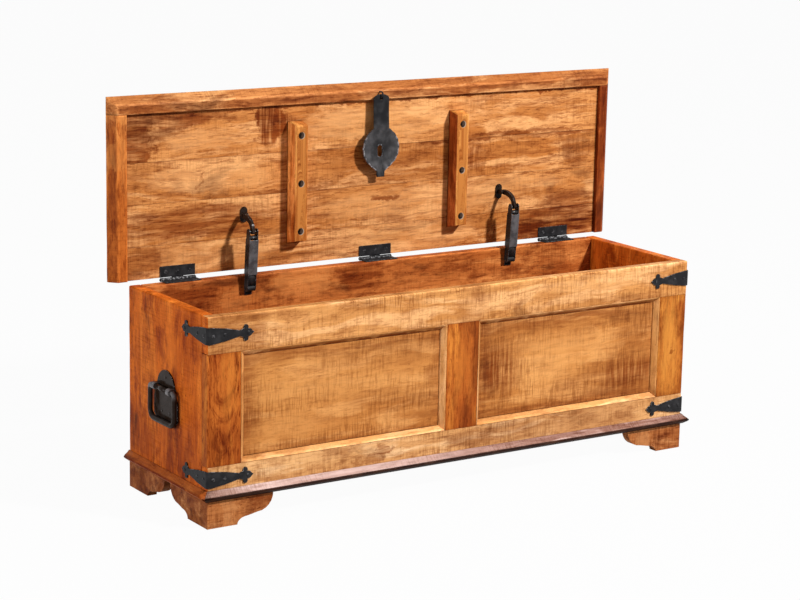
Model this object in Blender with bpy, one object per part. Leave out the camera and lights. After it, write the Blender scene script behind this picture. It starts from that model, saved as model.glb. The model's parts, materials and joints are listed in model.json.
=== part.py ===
"""Storage chest: framed front, cap lid standing open, iron fittings. Metres, +Z up, front towards -Y."""
import math

import bmesh
import bpy
from mathutils import Matrix, Vector

# Box
BOX_LENGTH = 1.030
BOX_DEPTH = 0.290
BOX_TOP = 0.366
FOOT_HEIGHT = 0.048
BOTTOM_THICKNESS = 0.012
FRONT_THICKNESS = 0.020
SIDE_THICKNESS = 0.022
BACK_THICKNESS = 0.022
BOARD_ROUND = 0.002

# Framed front
TOP_RAIL_HEIGHT = 0.064
BOTTOM_RAIL_HEIGHT = 0.047
END_STILE_WIDTH = 0.064
CENTRE_STILE_WIDTH = 0.068
PANEL_THICKNESS = 0.008
PANEL_RECESS = 0.009
PANEL_BEVEL_WIDTH = 0.010
PANEL_BEVEL_LIP = 0.0015

# Base moulding and bracket feet
MOULDING_HEIGHT = 0.019
MOULDING_NOSE = 0.012
MOULDING_NOSE_RISE = 0.007
MOULDING_FLAT = 0.0015
MOULDING_FILLET = 0.0015
MOULDING_FOOT = 0.003
FRONT_BRACKET_LENGTH = 0.128
FRONT_BRACKET_SHELF = 0.020
SIDE_BRACKET_SPACE = 0.020
SIDE_BRACKET_SHELF = 0.015
BRACKET_THICKNESS = 0.018
BRACKET_GLUE = 0.001
BRACKET_COVE_RUN = 0.020
BRACKET_COVE_RISE = 0.013
BRACKET_BULGE_RUN = 0.030
BRACKET_SHELF_RISE = 0.004
FOOT_BLOCK_SIDE = 0.034
FOOT_BLOCK_LIFT = 0.004

# Lid
LID_END_CLEARANCE = 0.002
LID_FRONT_CLEARANCE = 0.004
RIM_WIDTH = 0.0175
RIM_FLARE = 0.014
RIM_DROP = 0.008
RIM_FACE = 0.002
RIM_ROUND = 0.004
PLANK_THICKNESS = 0.014
PLANK_ROUND = 0.0012
PLANK_EDGES = (0.062, 0.137, 0.2115)
LID_BACK_CLEARANCE = 0.0004
LID_SCREW_COVER = 0.004
BATTEN_INSET = 0.338
BATTEN_START = 0.044
BATTEN_CLEARANCE = 0.006
BATTEN_WIDTH = 0.030
BATTEN_THICKNESS = 0.026
BATTEN_END_SLOPE = 0.006
BATTEN_SIDE_SLOPE = 0.002
BATTEN_HOLE_INSET = 0.024
BATTEN_HOLE_RADIUS = 0.0055
BATTEN_HOLE_DEPTH = 0.012

# Hinges
HINGE_INSET = 0.099
LEAF_LENGTH = 0.070
LEAF_DEPTH = 0.020
LEAF_THICKNESS = 0.0016
LEAF_HALF_GAP = 0.0004
KNUCKLE_RADIUS = 0.0034
HINGE_PIN_RADIUS = 0.0016
KNUCKLE_CLEARANCE = 0.0006
KNUCKLES = 3
LEAF_SCREW_PITCH = 0.024

# Corner straps
STRAP_ARM = 0.088
STRAP_HALF_HEIGHT = 0.0145
STRAP_THICKNESS = 0.002
STRAP_NECK_HALF = 0.0050
STRAP_LOBE_RADIUS = 0.0044
STRAP_LOBE_HALF = 0.0142
STRAP_LOBE_BACK = 0.0158
STRAP_LOBE_TURN = 25
STRAP_TIP_RADIUS = 0.0066
STRAP_TIP_BACK = 0.0099
STRAP_TIP_TURN = 15
STRAP_POINT_TURN = 25
STRAP_SQUARE_RUN = 0.005
STRAP_TAPER_BOW = 0.0011
STRAP_NECK_RUN = 0.0114
TOP_STRAP_SPACE = 0.018
BOTTOM_STRAP_SPACE = 0.0045
STRAP_CORNER_NAIL = 0.014
STRAP_MIDDLE_NAIL = 0.036
STRAP_TIP_NAIL_BACK = 0.0115

# Side handles
HANDLE_HEIGHT = 0.213
HANDLE_PLATE_HALF = 0.032
HANDLE_PLATE_DROP = 0.063
HANDLE_PLATE_SKIRT_HALF = 0.040
HANDLE_PLATE_SKIRT_DROP = 0.020
HANDLE_PLATE_CHAMFER = 0.012
HANDLE_PLATE_THICKNESS = 0.0025
HANDLE_SCREW_RISE = 0.019
HANDLE_SCREW_DROP = 0.042
HANDLE_SCREW_SPREAD = 0.014
HANDLE_POST_IN = 0.022
HANDLE_POST_OUT = 0.034
HANDLE_POST_RADIUS = 0.0065
HANDLE_WEB_HALF = 0.0058
BAIL_RADIUS = 0.0052
BAIL_STUB_RADIUS = 0.0032
BAIL_SIDE_SPACE = 0.005
BAIL_CLEARANCE = 0.0003
BAIL_DROP = 0.058
BAIL_CORNER = 0.015
BAIL_SHOULDER = 0.006

# Lid stays
STAY_INSET = 0.227
STAY_SIDE_CLEARANCE = 0.0005
STAY_REACH = 0.104
STAY_FOOT_OUT = 0.0103
STAY_FOOT_LENGTH = 0.029
STAY_FOOT_WIDTH = 0.014
STAY_LUG_WIDTH = 0.006
STAY_LUG_EASE = 0.0005
STAY_PIVOT_OUT = 0.008
STAY_PIVOT_DROP = 0.0215
STAY_PLATE = 0.002
STAY_BRACKET_WIDTH = 0.014
STAY_BRACKET_MARGIN = 0.0042
STAY_PIN_RADIUS = 0.002
STAY_CHANNEL_WIDTH = 0.018
STAY_CHANNEL_DEPTH = 0.016
STAY_CHANNEL_WALL = 0.0016
STAY_CHANNEL_START = 0.026
STAY_CHANNEL_HEAD = 0.0143
STAY_EAR_RADIUS = 0.006
STAY_LINK_THICKNESS = 0.005
STAY_LINK_HALF = 0.0048
STAY_ELBOW_CLEARANCE = 0.0008

# Hasp and its staple
STAPLE_RADIUS = 0.006
STAPLE_WIRE = 0.0015
STAPLE_OUT = 0.006
STAPLE_LEG = 0.008
HASP_THICKNESS = 0.003
HASP_EYE_RADIUS = 0.0025
HASP_ABOVE_EYE = 0.008
HASP_HEAD_RISE = 0.0108
HASP_STRAP_WIDTH = 0.036
HASP_DISC_DROP = 0.092
HASP_DISC_RADIUS = 0.040
HASP_TAB_TURN = 55
HASP_TIP_SPACE = 0.005
HASP_TAB_LENGTH = 0.009
HASP_TAB_WIDTH = 0.014
HASP_SLOT_WIDTH = 0.010
HASP_SLOT_LENGTH = 0.022
HASP_SLOT_BELOW_DISC = 0.006

# Fasteners
NAIL_HEAD_RADIUS = 0.0026
NAIL_HEAD_HEIGHT = 0.0012
SHANK_RADIUS = 0.0013
SHANK_LENGTH = 0.010
BATTEN_SCREW_HEAD_RADIUS = 0.0042
BATTEN_SCREW_HEAD_HEIGHT = 0.0025
BATTEN_SCREW_COVER = 0.006

# Gaps between touching pieces, and running clearance of pins in their holes
SEAT_GAP = 0.0003
PIN_CLEARANCE = 0.0003

# Facets of round pieces, and how their meshes are finished
FASTENER_SIDES = 6
ROUND_SIDES = 12
ARC_STEPS = 6
SHOULDER_STEPS = 4
SMOOTH_ANGLE = 40
WELD_DISTANCE = 0.000001

# Places that follow from the sizes
HALF_LENGTH = BOX_LENGTH / 2
HALF_DEPTH = BOX_DEPTH / 2
WALL_BOTTOM = FOOT_HEIGHT + BOTTOM_THICKNESS + SEAT_GAP
MOULDING_TOP = FOOT_HEIGHT + MOULDING_HEIGHT
RAIL_LOW_EDGE = BOX_TOP - TOP_RAIL_HEIGHT
PANEL_LOW_EDGE = WALL_BOTTOM + BOTTOM_RAIL_HEIGHT
TOP_STRAP_Z = BOX_TOP - TOP_STRAP_SPACE - STRAP_HALF_HEIGHT
BOTTOM_STRAP_Z = MOULDING_TOP + BOTTOM_STRAP_SPACE + STRAP_HALF_HEIGHT
STRAP_NAIL_STATIONS = (STRAP_CORNER_NAIL, STRAP_MIDDLE_NAIL, STRAP_ARM - STRAP_TIP_NAIL_BACK)
HANDLE_AXIS_OUT = SEAT_GAP + HANDLE_PLATE_THICKNESS + NAIL_HEAD_HEIGHT + BAIL_CLEARANCE + BAIL_RADIUS
BAIL_HALF_WIDTH = HANDLE_POST_OUT + PIN_CLEARANCE + BAIL_SIDE_SPACE + BAIL_RADIUS
PIN_BEHIND = KNUCKLE_RADIUS + KNUCKLE_CLEARANCE
PIN_RISE = SEAT_GAP + LEAF_THICKNESS + LEAF_HALF_GAP
PIN_Y = HALF_DEPTH + PIN_BEHIND
PIN_Z = BOX_TOP + PIN_RISE
LID_UNDERSIDE = PIN_RISE
LID_BACK_EDGE = KNUCKLE_RADIUS + LID_BACK_CLEARANCE
LID_SCREW_BITE = PLANK_THICKNESS - LID_SCREW_COVER
BATTEN_SCREW_BITE = PLANK_THICKNESS - BATTEN_SCREW_COVER
LID_RIM_INNER = PIN_BEHIND + BOX_DEPTH + LID_FRONT_CLEARANCE
LID_INNER_HALF = HALF_LENGTH + LID_END_CLEARANCE
LID_FRONT = LID_RIM_INNER + RIM_WIDTH + RIM_FLARE
LID_HALF_LENGTH = LID_INNER_HALF + RIM_WIDTH + RIM_FLARE
OPEN_FRONT = -HALF_DEPTH - MOULDING_NOSE
OPEN_BACK = PIN_Y + LID_UNDERSIDE + PLANK_THICKNESS
WALL_INNER_Y = HALF_DEPTH - BACK_THICKNESS
HINGE_X = HALF_LENGTH - HINGE_INSET
BATTEN_X = HALF_LENGTH - BATTEN_INSET
BATTEN_END = PIN_BEHIND + BOX_DEPTH - FRONT_THICKNESS - BATTEN_CLEARANCE
BATTEN_MIDDLE = (BATTEN_START + BATTEN_END) / 2
BATTEN_HOLE_PITCH = (BATTEN_END - BATTEN_START) / 2 - BATTEN_HOLE_INSET
BATTEN_SHANK = BATTEN_THICKNESS - BATTEN_HOLE_DEPTH + SEAT_GAP + BATTEN_SCREW_BITE
STAY_X = HALF_LENGTH - STAY_INSET
STAY_FOOT_INSET = STAY_LINK_THICKNESS / 2 + STAY_SIDE_CLEARANCE + STAY_LUG_WIDTH / 2
STAY_SCREW_STEP = STAY_EAR_RADIUS + NAIL_HEAD_RADIUS + PIN_CLEARANCE
STAY_FOOT_AT = Vector((0, -STAY_REACH, LID_UNDERSIDE - STAY_FOOT_OUT))
STAY_PIVOT_AT = Vector((0, WALL_INNER_Y - STAY_PIVOT_OUT, BOX_TOP - STAY_PIVOT_DROP))
HOLE_RADIUS = SHANK_RADIUS + PIN_CLEARANCE
HASP_TIP_DROP = HASP_DISC_DROP + HASP_DISC_RADIUS + HASP_TIP_SPACE
HASP_TAB_DROP = HASP_TIP_DROP + HASP_TAB_LENGTH
HASP_SLOT_DROP = HASP_DISC_DROP + HASP_SLOT_BELOW_DISC
STAPLE_AT = Vector((0, -(LID_RIM_INNER + RIM_WIDTH / 2), LID_UNDERSIDE - RIM_DROP - STAPLE_OUT))


def clear_scene():
    """Remove every object of the open file."""
    for item in list(bpy.data.objects):
        bpy.data.objects.remove(item, do_unlink=True)


def collection(name):
    """A new collection under the scene's own."""
    group = bpy.data.collections.new(name)
    bpy.context.scene.collection.children.link(group)
    return group


def finish(name, colour, roughness, metallic):
    """A plain Principled material."""
    material = bpy.data.materials.new(name)
    material.use_nodes = True
    shader = material.node_tree.nodes["Principled BSDF"]
    shader.inputs["Base Color"].default_value = (*colour, 1)
    shader.inputs["Roughness"].default_value = roughness
    shader.inputs["Metallic"].default_value = metallic
    return material


def empty(name, location, parent=None, turn=0.0):
    """An empty on a joint's axis, turned about X."""
    holder = bpy.data.objects.new(name, None)
    PARTS.objects.link(holder)
    holder.parent = parent
    holder.location = location
    holder.rotation_euler = (turn, 0, 0)
    return holder


def to_mesh(work, name):
    """The mesh of a finished bmesh, with its faces pointing out."""
    bmesh.ops.recalc_face_normals(work, faces=work.faces)
    mesh = bpy.data.meshes.new(name)
    work.to_mesh(mesh)
    work.free()
    return mesh


def block(low, high, rounding=0.0):
    """A box between two corners, with its edges eased by one bevel."""
    low = Vector(low)
    high = Vector(high)
    work = bmesh.new()
    bmesh.ops.create_cube(work, size=1)
    bmesh.ops.scale(work, vec=high - low, verts=work.verts)
    bmesh.ops.translate(work, vec=(low + high) / 2, verts=work.verts)
    if rounding:
        bmesh.ops.bevel(work, geom=work.edges[:], offset=rounding, segments=1, affect="EDGES", profile=0.5)
    return to_mesh(work, "block")


def stacked(*layers):
    """A block lofted through level rectangles, each a pair of opposite corners, from the lowest up."""
    work = bmesh.new()
    bmesh.ops.create_cube(work, size=1)
    lift(work.verts[:], layers[0], lambda vert: vert.co.z < 0)
    lift(work.verts[:], layers[1], lambda vert: vert.co.z > layers[0][0][2])
    for layer in layers[2:]:
        top = max(work.faces, key=lambda face: face.calc_center_median().z)
        grown = bmesh.ops.extrude_face_region(work, geom=[top])
        lift([item for item in grown["geom"] if isinstance(item, bmesh.types.BMVert)], layer, bool)
        bmesh.ops.delete(work, geom=[top], context="FACES")
    return to_mesh(work, "stacked")


def lift(verts, layer, chosen):
    """Move the four chosen corners of a block to a level rectangle."""
    low, high = layer
    corners = [vert for vert in verts if chosen(vert)]
    middle = sum((vert.co for vert in corners), Vector()) / len(corners)
    for vert in corners:
        vert.co = [high[axis] if vert.co[axis] > middle[axis] else low[axis] for axis in (0, 1)] + [low[2]]


def rod(start, end, radius, sides=ROUND_SIDES):
    """A capped cylinder between two points."""
    start = Vector(start)
    end = Vector(end)
    along = end - start
    turn = along.to_track_quat("Z", "X").to_matrix().to_4x4()
    work = bmesh.new()
    bmesh.ops.create_cone(work, cap_ends=True, segments=sides, radius1=radius, radius2=radius,
                          depth=along.length, matrix=Matrix.Translation((start + end) / 2) @ turn)
    return to_mesh(work, "rod")


def evaluated(item):
    """The mesh of an object after its modifiers, with the object removed."""
    bpy.context.view_layer.update()
    graph = bpy.context.evaluated_depsgraph_get()
    mesh = bpy.data.meshes.new_from_object(item.evaluated_get(graph))
    bpy.data.objects.remove(item)
    return mesh


def plate(outline, thickness, place=Matrix(), holes=()):
    """A flat outline with holes, from a filled 2D curve about local z = 0, placed by a matrix."""
    curve = bpy.data.curves.new("plate", "CURVE")
    curve.dimensions = "2D"
    curve.fill_mode = "BOTH"
    curve.extrude = thickness / 2
    for ring in (outline, *holes):
        spline = curve.splines.new("POLY")
        spline.points.add(len(ring) - 1)
        for point, (x, y) in zip(spline.points, ring):
            point.co = (x, y, 0, 1)
        spline.use_cyclic_u = True
    item = bpy.data.objects.new("plate", curve)
    CUTTERS.objects.link(item)
    mesh = evaluated(item)
    work = bmesh.new()
    work.from_mesh(mesh)
    bmesh.ops.remove_doubles(work, verts=work.verts, dist=WELD_DISTANCE)
    bmesh.ops.transform(work, matrix=place, verts=work.verts)
    return to_mesh(work, "plate")


def wire(points, radius, factors=None, sides_level=2):
    """A round bar along a polyline, with filled caps; factors scale its radius at each point."""
    curve = bpy.data.curves.new("wire", "CURVE")
    curve.dimensions = "3D"
    curve.bevel_depth = radius
    curve.bevel_resolution = sides_level
    curve.use_fill_caps = True
    spline = curve.splines.new("POLY")
    spline.points.add(len(points) - 1)
    for index, point in enumerate(points):
        spline.points[index].co = (*point, 1)
        spline.points[index].radius = factors[index] if factors else 1.0
    item = bpy.data.objects.new("wire", curve)
    CUTTERS.objects.link(item)
    mesh = evaluated(item)
    work = bmesh.new()
    work.from_mesh(mesh)
    bmesh.ops.remove_doubles(work, verts=work.verts, dist=WELD_DISTANCE)
    return to_mesh(work, "wire")


def joined(meshes):
    """One mesh that holds several separate bodies."""
    work = bmesh.new()
    for mesh in meshes:
        work.from_mesh(mesh)
    return to_mesh(work, "joined")


def boolean(mesh, tool, operation):
    """The union or difference of two closed meshes."""
    body = bpy.data.objects.new("body", mesh)
    cutter = bpy.data.objects.new("cutter", tool)
    cutter.display_type = "WIRE"
    cutter.hide_render = True
    for item in (body, cutter):
        CUTTERS.objects.link(item)
    modifier = body.modifiers.new("boolean", "BOOLEAN")
    modifier.operation = operation
    modifier.object = cutter
    if operation == "UNION":
        # Joined pieces share planes, such as a foot's two brackets at their corner.
        modifier.solver = "MANIFOLD"
    result = evaluated(body)
    bpy.data.objects.remove(cutter)
    return result


def fused(meshes):
    """Several overlapping meshes as one body."""
    result = meshes[0]
    for mesh in meshes[1:]:
        result = boolean(result, mesh, "UNION")
    return result


def cut(mesh, tools):
    """A mesh less several tools that don't overlap each other."""
    return boolean(mesh, joined(tools), "DIFFERENCE") if tools else mesh


def moved(mesh, matrix):
    """A copy of a mesh, placed by a matrix."""
    copy = mesh.copy()
    copy.transform(matrix)
    if matrix.determinant() < 0:
        copy.flip_normals()
    return copy


def part(name, mesh, material, parent, origin=(0, 0, 0), smooth=False):
    """One named piece: its mesh is given in its parent's space, and its origin is set inside it."""
    mesh.name = name
    mesh.transform(Matrix.Translation(-Vector(origin)))
    mesh.materials.clear()
    mesh.materials.append(material)
    if smooth:
        mesh.shade_smooth()
        mesh.set_sharp_from_angle(angle=math.radians(SMOOTH_ANGLE))
    item = bpy.data.objects.new(name, mesh)
    PARTS.objects.link(item)
    item.parent = parent
    item.location = origin
    return item


def arc(centre, radius, start, end, steps=ARC_STEPS):
    """Points along an arc, angles in degrees; radius may be a pair of half axes."""
    wide, tall = radius if isinstance(radius, tuple) else (radius, radius)
    angles = [math.radians(start + (end - start) * step / steps) for step in range(steps + 1)]
    return [(centre[0] + wide * math.cos(angle), centre[1] + tall * math.sin(angle)) for angle in angles]


def circle(centre, radius, sides=FASTENER_SIDES):
    """A closed ring of points."""
    return arc(centre, radius, 0, 360, sides)[:-1]


def plane(origin, right, up):
    """The matrix that puts a plate's local x and y along two directions."""
    right = Vector(right)
    up = Vector(up)
    out = right.cross(up)
    return Matrix.Translation(origin) @ Matrix((right, up, out)).transposed().to_4x4()


# Fasteners: a nail or screw is one with the plate that it holds, and its shank stands in a hole in the wood.

def shank(seat, inward, level, bite=SHANK_LENGTH):
    """A fastener's shank, from a level above its seat to its bite in the wood."""
    return rod(seat - inward * level, seat + inward * bite, SHANK_RADIUS, FASTENER_SIDES)


def shank_hole(seat, inward, bite):
    """The tool for one fastener's hole in the wood."""
    return rod(seat - inward * SHANK_LENGTH, seat + inward * (bite + SEAT_GAP), HOLE_RADIUS, FASTENER_SIDES)


def nailed(mesh, seats, thickness, bite=SHANK_LENGTH):
    """A plate with its nails: each has a head on the plate and a shank in the wood."""
    middle = SEAT_GAP + thickness / 2
    top = SEAT_GAP + thickness + NAIL_HEAD_HEIGHT
    heads = [rod(seat - inward * middle, seat - inward * top, NAIL_HEAD_RADIUS, FASTENER_SIDES)
             for seat, inward in seats]
    shanks = [shank(seat, inward, middle, bite) for seat, inward in seats]
    return fused([mesh, joined(heads), joined(shanks)])


def screwed(mesh, seats, thickness, bite=SHANK_LENGTH):
    """A plate with countersunk screws, whose heads are flush with it."""
    middle = SEAT_GAP + thickness / 2
    return fused([mesh, joined([shank(seat, inward, middle, bite) for seat, inward in seats])])


# Places of the fasteners, in the box's or the lid's own space.

def strap_seats(side, height):
    """Seat and inward direction of each nail of one corner strap, front arm first."""
    corner = Vector((side * HALF_LENGTH, -HALF_DEPTH, height))
    front = [(corner + Vector((-side * station, 0, 0)), Vector((0, 1, 0))) for station in STRAP_NAIL_STATIONS]
    flank = [(corner + Vector((0, station, 0)), Vector((-side, 0, 0))) for station in STRAP_NAIL_STATIONS]
    return front + flank


def handle_seats(side):
    """Seats of one handle plate's screws: one in the dome, two inside the bail."""
    low = HANDLE_SCREW_DROP
    places = [(0, HANDLE_SCREW_RISE), (HANDLE_SCREW_SPREAD, -low), (-HANDLE_SCREW_SPREAD, -low)]
    return [(Vector((side * HALF_LENGTH, y, HANDLE_HEIGHT + z)), Vector((-side, 0, 0))) for y, z in places]


def leaf_screw_points(hinge_x):
    """Screw places along one hinge leaf, as x and distance in front of the pin."""
    middle = PIN_BEHIND + LEAF_DEPTH / 2
    return [(hinge_x + step * LEAF_SCREW_PITCH, middle) for step in (-1, 0, 1)]


def lower_leaf_seats(hinge_x):
    """Seats of one hinge's screws in the back board's top edge."""
    down = Vector((0, 0, -1))
    return [(Vector((x, PIN_Y - ahead, BOX_TOP)), down) for x, ahead in leaf_screw_points(hinge_x)]


def upper_leaf_seats(hinge_x):
    """Seats of one hinge's screws in the lid, in the lid's space."""
    up = Vector((0, 0, 1))
    return [(Vector((x, -ahead, LID_UNDERSIDE)), up) for x, ahead in leaf_screw_points(hinge_x)]


def bracket_seats(side):
    """Seats of one stay bracket's screws in the back wall, below and above the pivot."""
    pivot = STAY_PIVOT_AT.z
    return [(Vector((side * STAY_X, WALL_INNER_Y, pivot + step * STAY_SCREW_STEP)), Vector((0, 1, 0)))
            for step in (-1, 1)]


def foot_seats(side):
    """Seats of one stay foot's screws in the lid, in the lid's space."""
    reach = STAY_FOOT_LENGTH / 2 - NAIL_HEAD_RADIUS - 2 * PIN_CLEARANCE
    x = side * (STAY_X - STAY_FOOT_INSET)
    up = Vector((0, 0, 1))
    return [(Vector((x, STAY_FOOT_AT.y + step * reach, LID_UNDERSIDE)), up) for step in (-1, 1)]


def batten_seats(side):
    """Seats of one batten's screws: the floors of its counterbores, in the lid's space."""
    floor = LID_UNDERSIDE - SEAT_GAP - BATTEN_THICKNESS + BATTEN_HOLE_DEPTH
    return [(Vector((side * BATTEN_X, -BATTEN_MIDDLE + step * BATTEN_HOLE_PITCH, floor)), Vector((0, 0, 1)))
            for step in (-1, 0, 1)]


def holes_for(seats, bite=SHANK_LENGTH):
    """Tools for the holes of several fasteners."""
    return [shank_hole(seat, inward, bite) for seat, inward in seats]


# Box

def make_front():
    """Rails, stiles, panels and the bevelled moulding round each panel."""
    front = -HALF_DEPTH
    inner = front + FRONT_THICKNESS
    rails = (("front_top_rail", RAIL_LOW_EDGE, BOX_TOP, TOP_STRAP_Z),
             ("front_bottom_rail", WALL_BOTTOM, PANEL_LOW_EDGE, BOTTOM_STRAP_Z))
    for name, low, high, strap_z in rails:
        rail = block((-HALF_LENGTH, front, low), (HALF_LENGTH, inner, high), BOARD_ROUND)
        seats = [item for side in (-1, 1) for item in strap_seats(side, strap_z)
                 if item[0].y < inner + HOLE_RADIUS]
        part(name, cut(rail, holes_for(seats)), WOOD_FRONT, BOX)
    low = PANEL_LOW_EDGE + SEAT_GAP
    high = RAIL_LOW_EDGE - SEAT_GAP
    half_centre = CENTRE_STILE_WIDTH / 2
    end_edge = HALF_LENGTH - END_STILE_WIDTH
    for name, left, right in (("left", -HALF_LENGTH, -end_edge), ("centre", -half_centre, half_centre),
                              ("right", end_edge, HALF_LENGTH)):
        stile = block((left, front, low), (right, inner, high), BOARD_ROUND)
        part(f"front_{name}_stile", stile, WOOD_STILE, BOX)
    for name, left, right in (("left", -end_edge, -half_centre), ("right", half_centre, end_edge)):
        left += SEAT_GAP
        right -= SEAT_GAP
        face = front + PANEL_RECESS + SEAT_GAP
        panel = block((left, face, low), (right, face + PANEL_THICKNESS, high))
        part(f"front_{name}_panel", panel, WOOD_PANEL, BOX)
        part(f"{name}_panel_moulding", panel_moulding(left, right, low, high), WOOD_FRONT, BOX)


def panel_moulding(left, right, low, high):
    """A glued-up frame whose inner sides slope from the front's face down to a panel."""
    front = -HALF_DEPTH
    ring = block((left, front, low), (right, front + PANEL_RECESS, high))
    slope = (PANEL_BEVEL_WIDTH - PANEL_BEVEL_LIP) / PANEL_RECESS
    past = PANEL_BEVEL_LIP / 2
    half = Vector(((right - left) / 2, (high - low) / 2, 0))
    corner = Vector((1, 1, 0))
    wide = half - corner * (PANEL_BEVEL_LIP - slope * past)
    narrow = half - corner * (PANEL_BEVEL_WIDTH + slope * past)
    tool = stacked(((*-narrow.xy, -PANEL_RECESS - past), (*narrow.xy, -PANEL_RECESS - past)),
                   ((*-wide.xy, past), (*wide.xy, past)))
    middle = Vector(((left + right) / 2, front, (low + high) / 2))
    tool.transform(plane(middle, (1, 0, 0), (0, 0, 1)))
    return cut(ring, [tool])


def moulding_strip(half_run, square_end=False):
    """Base moulding along X, facing +Z with its height along +Y. Its ends are mitred unless square."""
    profile = [(SEAT_GAP, 0), (MOULDING_FOOT, 0), (MOULDING_NOSE, MOULDING_NOSE_RISE),
               (MOULDING_NOSE, MOULDING_NOSE_RISE + MOULDING_FLAT), (MOULDING_FILLET, MOULDING_HEIGHT),
               (SEAT_GAP, MOULDING_HEIGHT)]
    work = bmesh.new()
    ring = [work.verts.new((0, rise, out)) for out, rise in profile]
    grown = bmesh.ops.extrude_face_region(work, geom=[work.faces.new(ring)])
    far = [item for item in grown["geom"] if isinstance(item, bmesh.types.BMVert)]
    for vert in ring:
        vert.co.x = -half_run - vert.co.z + SEAT_GAP
    for vert in far:
        vert.co.x = half_run if square_end else half_run + vert.co.z - SEAT_GAP
    return to_mesh(work, "moulding")


def make_walls():
    """Sides, back and bottom board."""
    side_front = -HALF_DEPTH + FRONT_THICKNESS + SEAT_GAP
    for name, side in (("left", -1), ("right", 1)):
        span = sorted((side * HALF_LENGTH, side * (HALF_LENGTH - SIDE_THICKNESS)))
        board = block((span[0], side_front, WALL_BOTTOM), (span[1], HALF_DEPTH, BOX_TOP), BOARD_ROUND)
        seats = [item for height in (TOP_STRAP_Z, BOTTOM_STRAP_Z) for item in strap_seats(side, height)
                 if item[0].y > side_front - HOLE_RADIUS]
        part(f"{name}_side", cut(board, holes_for(seats + handle_seats(side))), WOOD_SIDE, BOX)
    reach = HALF_LENGTH - SIDE_THICKNESS - SEAT_GAP
    back = block((-reach, WALL_INNER_Y, WALL_BOTTOM), (reach, HALF_DEPTH, BOX_TOP), BOARD_ROUND)
    seats = [item for x in (-HINGE_X, 0, HINGE_X) for item in lower_leaf_seats(x)]
    seats += [item for side in (-1, 1) for item in bracket_seats(side)]
    part("back_board", cut(back, holes_for(seats)), WOOD_BACK, BOX)
    bottom = block((-HALF_LENGTH, -HALF_DEPTH, FOOT_HEIGHT),
                   (HALF_LENGTH, HALF_DEPTH, WALL_BOTTOM - SEAT_GAP))
    part("bottom_board", bottom, WOOD_BACK, BOX)


def make_base():
    """Mitred moulding on the front and both ends."""
    upright = Matrix.Rotation(math.radians(90), 4, "X")
    front = moulding_strip(HALF_LENGTH)
    front.transform(Matrix.Translation((0, -HALF_DEPTH, FOOT_HEIGHT)) @ upright)
    part("base_moulding_front", front, WOOD_MOULDING, BOX)
    for name, side in (("left", -1), ("right", 1)):
        strip = moulding_strip(HALF_DEPTH, square_end=True)
        strip.transform(Matrix.Rotation(math.radians(90), 4, "Z") @ upright)
        strip = moved(strip, Matrix.Diagonal((side, 1, 1, 1)))
        strip.transform(Matrix.Translation((side * HALF_LENGTH, 0, FOOT_HEIGHT)))
        part(f"base_moulding_{name}", strip, WOOD_MOULDING, BOX)


def bracket_outline(length, shelf_run, start):
    """A scroll-cut foot: flat sole, cove, sloping shelf and a bulge up to the moulding."""
    top = FOOT_HEIGHT - SEAT_GAP
    bulge_start = length - BRACKET_BULGE_RUN
    cove_end = bulge_start - shelf_run
    shelf_end = BRACKET_COVE_RISE + BRACKET_SHELF_RISE
    cove = arc((cove_end, 0), (BRACKET_COVE_RUN, BRACKET_COVE_RISE), 180, 90)
    bulge = arc((bulge_start, top), (BRACKET_BULGE_RUN, top - shelf_end), 270, 360)
    return [(start, 0)] + cove + bulge + [(start, top)]


def make_feet():
    """Four glued-up bracket feet: a face bracket, a flank bracket and the block behind them."""
    side_length = (BOX_DEPTH - SIDE_BRACKET_SPACE) / 2
    for depth_name, ahead in (("front", -1), ("back", 1)):
        for side_name, side in (("left", -1), ("right", 1)):
            corner = Vector((side * HALF_LENGTH, ahead * HALF_DEPTH, 0))
            along = Vector((-side, 0, 0))
            inward = Vector((0, -ahead, 0))
            face = bracket(corner, along, inward, FRONT_BRACKET_LENGTH, FRONT_BRACKET_SHELF, 0)
            flank = bracket(corner, inward, along, side_length, SIDE_BRACKET_SHELF, BRACKET_THICKNESS / 2)
            near = corner + (along + inward) * (BRACKET_THICKNESS - BRACKET_GLUE)
            far = near + (along + inward) * FOOT_BLOCK_SIDE
            low = [min(near[axis], far[axis]) for axis in (0, 1)] + [FOOT_BLOCK_LIFT]
            high = [max(near[axis], far[axis]) for axis in (0, 1)] + [FOOT_HEIGHT - 2 * SEAT_GAP]
            foot = fused([face, flank, block(low, high)])
            part(f"foot_{depth_name}_{side_name}", foot, WOOD_FOOT, BOX, corner)


def bracket(corner, along, inward, length, shelf_run, start):
    """One foot bracket along a face of the box, from its start near a corner."""
    turn = Matrix((along, Vector((0, 0, 1)), inward)).transposed().to_4x4()
    mesh = plate(bracket_outline(length, shelf_run, start), BRACKET_THICKNESS)
    return moved(mesh, Matrix.Translation(corner + inward * BRACKET_THICKNESS / 2) @ turn)


# Fittings on the box

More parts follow.
